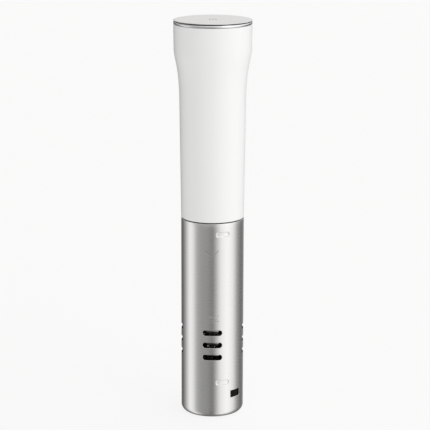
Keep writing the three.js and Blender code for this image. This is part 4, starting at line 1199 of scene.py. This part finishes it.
can = {"foot": 0.6 * mm, "footShare": 0.8, "beadRise": 3 * mm, "beadOut": 0.5 * mm, "bead": 0.9 * mm,
       "crown": 0.7 * mm, "dish": 0.3 * mm, "dishShare": 0.78}


def capacitorCan(paint):
    # rolled can with a bead near its foot and a dished top
    low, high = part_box("capacitor")
    radius, foot, crown = (high.x - low.x) / 2, can["foot"], can["crown"]
    dish = high.z - can["dish"]
    outline = [(0.0, low.z + foot), (radius * can["footShare"], low.z + foot)]
    outline += arcPath((radius - foot, low.z + foot), foot, -90, 0, 4)
    outline += arcPath((radius + can["beadOut"], low.z + can["beadRise"]), can["bead"], 236, 124, 6)
    outline += arcPath((radius - crown, high.z - crown), crown, 0, 90, 5)
    outline += [(radius * can["dishShare"], dish), (0.0, dish)]
    piece = movedTo(lathe("storageCan", outline, 48, paint), (low + high) / 2)
    return finishPiece(piece, "root", "black_plastic", "capacitor")


coupling = {"step": 8.6 * mm, "wide": 3.05 * mm, "narrow": 2.55 * mm, "grooveMouth": 0.8 * mm,
            "grooveFloor": 0.4 * mm, "grooveDepth": 0.6 * mm, "edge": 0.35 * mm}


def couplingSleeve(paint):
    # two bores of different width, for the motor's shaft above and the drive shaft below
    low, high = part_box("shaft_coupling")
    step, wide, narrow = low.z + coupling["step"], coupling["wide"], coupling["narrow"]
    groove, floor = (low.z + high.z) / 2, high.x - coupling["grooveDepth"]
    mouth, half = coupling["grooveMouth"], coupling["grooveFloor"]
    corners = [(wide, low.z), (high.x, low.z), (high.x, groove - mouth), (floor, groove - half),
               (floor, groove + half), (high.x, groove + mouth), (high.x, high.z), (narrow, high.z),
               (narrow, step), (wide, step)]
    piece = lathe("couplingTube", roundedOutline(corners, coupling["edge"]), 48, paint)
    return finishPiece(piece, "rotor", "bush_brass", "shaft_coupling")


# Screws: one screw of each size, copied to its places

screws = {
    "chassis": {"head": 2.8, "headHeight": 1.8, "shank": 1.5, "length": 8.5, "count": 3},
    "bracket": {"head": 2.3, "headHeight": 1.6, "shank": 1.3, "length": 5.2, "count": 2},
    "motor": {"head": 2.6, "headHeight": 1.6, "shank": 1.5, "length": 5.0, "count": 2},
    "board": {"head": 2.2, "headHeight": 1.5, "shank": 1.2, "length": 4.5, "count": 2},
    "head": {"head": 2.4, "headHeight": 1.6, "shank": 1.3, "length": 9.0, "count": 3},
}
screwForm = {"pitch": 0.6 * mm, "plain": 0.5 * mm, "tip": 0.7 * mm, "thread": 0.8, "socket": 0.42,
             "socketDepth": 0.6, "dome": 0.38, "edge": 0.1 * mm, "columns": 36}


def screwBody(name, size, paint):
    # pan head with a six-lobed socket, and a threaded shank that points down
    head, tall, shank, length = (size[key] * mm for key in ("head", "headHeight", "shank", "length"))
    socket, deep, edge = head * screwForm["socket"], tall * screwForm["socketDepth"], screwForm["edge"]
    dome, thread, pitch = head * screwForm["dome"], shank * screwForm["thread"], screwForm["pitch"]
    outline = [(0.0, tall - deep), (socket * 0.8, tall - deep), (socket, tall - 0.08 * mm),
               (socket * 1.1, tall)]
    lobes = (0.0, 0.1, 0.16, 0.12)  # how far the socket's four points sway in and out
    outline += arcPath((head - dome, tall - dome), dome, 90, 0, 5)
    outline += [(head, edge), (head - edge, 0.0), (shank * 1.02, 0.0)]
    for turn in range(int((length - 2 * screwForm["tip"]) / pitch)):
        level = -screwForm["plain"] - turn * pitch
        outline += [(thread, level), (shank, level - pitch / 2)]
    outline += [(thread, -length + screwForm["tip"]), (shank * 0.45, -length), (0.0, -length)]

    def reach(i, radius, turn):
        return radius * (1 + lobes[i] * math.cos(6 * turn)) if i < len(lobes) else radius

    piece = lathe(name, outline, screwForm["columns"], paint, reach)
    sharpen(piece, 35)
    return piece


def screwSet(kind, paint):
    size = screws[kind]
    names = [f"{kind}_screw_{i + 1}" for i in range(size["count"])]
    spots, tilt = [], (0.0, 0.0, 0.0)
    for name in names:
        low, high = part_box(name)
        middle = (low + high) / 2
        if kind == "board":
            tilt = (-math.pi / 2, 0.0, 0.0)
            spots.append((middle.x, high.y - size["headHeight"] * mm, middle.z))
        elif kind in ("bracket", "motor"):
            tilt = (math.pi, 0.0, 0.0)
            spots.append((middle.x, middle.y, low.z + size["headHeight"] * mm))
        else:
            spots.append((middle.x, middle.y, high.z - size["headHeight"] * mm))
    source = screwBody(kind + "Screw", size, paint)
    base = meshPiece(kind + "Places", spots, [], paint)
    grower = Grower(kind + "ScrewSet")
    turned = grower.input("Tilt", "NodeSocketVector", tilt)
    shape = grower.node("GeometryNodeObjectInfo", {}, {"Object": source})
    spread = grower.node("GeometryNodeMeshToPoints", {}, {0: grower.start.outputs[0]})
    placed = grower.node("GeometryNodeInstanceOnPoints", {}, {
        "Points": spread.outputs[0], "Instance": shape.outputs["Geometry"], "Rotation": turned})
    piece = grower.grow(kind + "Screws", base, placed.outputs[0], paint)
    bpy.data.objects.remove(source)
    return finishPiece(piece, "root", "bright_steel", *names)


# Stage, lights and camera

studio = {
    "lens": 154.0, "distance": 1.656, "height": 0.5786, "pitch": 13.27, "side": 0.00145, "roll": -0.12,
    "paper": (0.93, 0.93, 0.925), "floorGlow": 0.9, "horizon": (-0.1, 0.22),
    # brightness by direction round the stick, in degrees from the front towards +X
    "cards": [(-180, 0.3), (-166, 0.16), (-138, 0.15), (-118, 0.5), (-92, 1.35), (-76, 1.15), (-60, 0.55),
              (-42, 0.4), (-18, 0.34), (2, 0.17), (14, 0.55), (30, 1.15), (58, 1.42), (82, 1.15), (104, 0.42),
              (128, 0.17), (150, 0.24), (166, 0.55), (180, 0.3)],
    "dome": [(-180, 1.1), (-110, 0.6), (-60, 0.72), (0, 1.24), (60, 1.72), (120, 1.62), (180, 1.1)],
    "pit": (-0.98, -0.84), "pitLevel": 0.2, "zenith": (0.55, 0.8), "zenithLoss": 0.75,
}


def floorPaint():
    paint = Paint("paperFloor")
    fibre = paint.noise(400.0, 3.0)
    paint.set("Base Color", (0.1, 0.1, 0.1, 1))
    paint.set("Emission Color", paint.mixed(fibre, studio["paper"], scaled(studio["paper"], 0.995)))
    paint.set("Emission Strength", studio["floorGlow"])
    paint.set("Roughness", 0.95 - fibre * 0.05)
    return paint.material


def stage():
    paint = floorPaint()
    half, level = 6.0, -0.2 * mm
    points = [(x, y, level) for x, y in ((-half, -half), (half, -half), (half, half), (-half, half))]
    floor = meshPiece("paperFloor", points, [(0, 1, 2, 3)], paint, smooth=False)
    floor.visible_glossy = False


def areaLight(name, place, aim, width, height, power):
    light = bpy.data.lights.new(name, "AREA")
    light.shape = "RECTANGLE"
    light.size = width
    light.size_y = height
    light.energy = power
    lamp = sceneObject(name, light)
    lamp.location = place
    lamp.rotation_euler = (Vector(aim) - Vector(place)).to_track_quat("-Z", "Y").to_euler()
    lamp.visible_camera = False


def studioAir():
    # soft cards round the stick below the horizon line, and a brighter dome above it
    world = bpy.data.worlds.new("studioAir")
    bpy.context.scene.world = world
    air = Board(world, "Generated")
    x, y, z = air.axes()
    turn = x.sum("ARCTAN2", x, 0.0 - y) / (2 * math.pi) + 0.5

    def ramp(stops):
        # a ramp holds at most 1, so its levels are halved
        grey = [((angle + 180) / 360, (level / 2,) * 3) for angle, level in stops]
        return air.node("ShaderNodeValToRGB", {"stops": grey}, {0: turn}) * 2.0

    low, high = studio["horizon"]
    above = ((z - low) / (high - low)).clamped()
    above = above * above * (3.0 - 2.0 * above)
    cards, dome = ramp(studio["cards"]), ramp(studio["dome"])
    level = cards + (dome - cards) * above
    deep, shallow = studio["pit"]
    lit = ((z - deep) / (shallow - deep)).clamped()
    level = studio["pitLevel"] + (level - studio["pitLevel"]) * lit
    start, stop = studio["zenith"]
    overhead = ((z - start) / (stop - start)).clamped()
    level = level * (1.0 - overhead * studio["zenithLoss"])
    glow = air.node("ShaderNodeBackground", {}, {"Color": air.node("ShaderNodeCombineColor", {}, {
        0: level, 1: level, 2: level * 0.99}), "Strength": 1.0})
    seen = air.node("ShaderNodeBackground", {}, {"Color": (0.95, 0.945, 0.93, 1), "Strength": 1.0})
    eye = air.node("ShaderNodeLightPath", {}, {}, "Is Camera Ray")
    mixed = air.node("ShaderNodeMixShader", {}, {0: eye, 1: glow, 2: seen})
    air.node("ShaderNodeOutputWorld", {}, {"Surface": mixed}, None)


def lights():
    middle = (0, 0, 0.18)
    areaLight("rightBox", (0.9, -0.9, 1.1), middle, 0.6, 0.8, 3)
    areaLight("overhead", (0, 0.1, 1.7), (0, 0, 0.2), 1.2, 1.2, 3)


def camera():
    lens = bpy.data.cameras.new("studioCamera")
    lens.lens = studio["lens"]
    lens.sensor_width = 36.0
    lens.dof.use_dof = False
    eye = sceneObject("studioCamera", lens)
    eye.location = (studio["side"], -studio["distance"], studio["height"])
    eye.rotation_euler = (math.radians(90 - studio["pitch"]), math.radians(studio["roll"]), 0)
    bpy.context.scene.camera = eye


def carriedPaints():
    # finishes of the pieces that stay as they are
    paints = {
        "bright_steel": turnedMetalPaint("brightSteel", (0.68, 0.68, 0.67), 0.22),
        "black_plastic": mouldedPaint("blackPlastic", (0.006, 0.006, 0.0065), 0.62, specular=0.12),
        "grey_plastic": mouldedPaint("greyPlastic", (0.13, 0.135, 0.14), 0.5),
        "seal_rubber": mouldedPaint("sealRubber", (0.012, 0.012, 0.012), 0.75, 1200.0, 0.4),
        "bush_brass": turnedMetalPaint("bushBrass", (0.62, 0.46, 0.2), 0.3),
        "plain_aluminium": turnedMetalPaint("plainAluminium", (0.7, 0.71, 0.72), 0.38),
        "motor_copper": turnedMetalPaint("motorCopper", (0.52, 0.24, 0.11), 0.35),
        "magnet_ferrite": mouldedPaint("magnetFerrite", (0.03, 0.03, 0.032), 0.7, 600.0, 0.5),
        "wire_red": mouldedPaint("wireRed", (0.3, 0.025, 0.02), 0.55),
        "tape_yellow": mouldedPaint("tapeYellow", (0.55, 0.36, 0.04), 0.45),
        "circuit_board": boardPaint(),
    }
    return paints


def dressCarried(paints):
    slots = {part["node"]: part["material_slot"] for part in frame["record"]["subparts"]}
    for name, node in frame["nodes"].items():
        paint = paints.get(slots[name])
        if paint:
            node.data.materials.clear()
            node.data.materials.append(paint)


paints = carriedPaints()
dressCarried(paints)
print("carried pieces dressed")
camera()
stage()
studioAir()
lights()
print("studio ready")
steelSleeve(sleeveSteelPaint())
print("sleeve made")
whiteBody(whiteShellPaint())
bezelRing(bezelPaint())
touchPlate(platePaint())
seamGasket(paints["seal_rubber"])
print("body and head made")
heaterCoil(heaterPaint())
wetRods(paints["bright_steel"])
# painted shade: the intake gets a darker, less shiny copy of the black plastic, so its wall behind the
# sleeve's windows reads as shade
intakeBase(mouldedPaint("intakeShadePlastic", (0.0035, 0.0035, 0.0035), 0.7, specular=0.06))
impellerWheel(paints["grey_plastic"])
turnedParts(paints["bright_steel"], paints["bush_brass"], paints["seal_rubber"])
print("wet side made")
cordInlet(paints["black_plastic"])
for node in nuts:
    hexNut(node, paints[nuts[node]["slot"]])
motorHousing(paints["plain_aluminium"], paints["black_plastic"])
heatSink(paints["plain_aluminium"])
capacitorCan(paints["black_plastic"])
couplingSleeve(paints["bush_brass"])
print("dry side made")
for kind in screws:
    screwSet(kind, paints["bright_steel"])
print("screws made")
bpy.context.scene.view_settings.view_transform = "Standard"
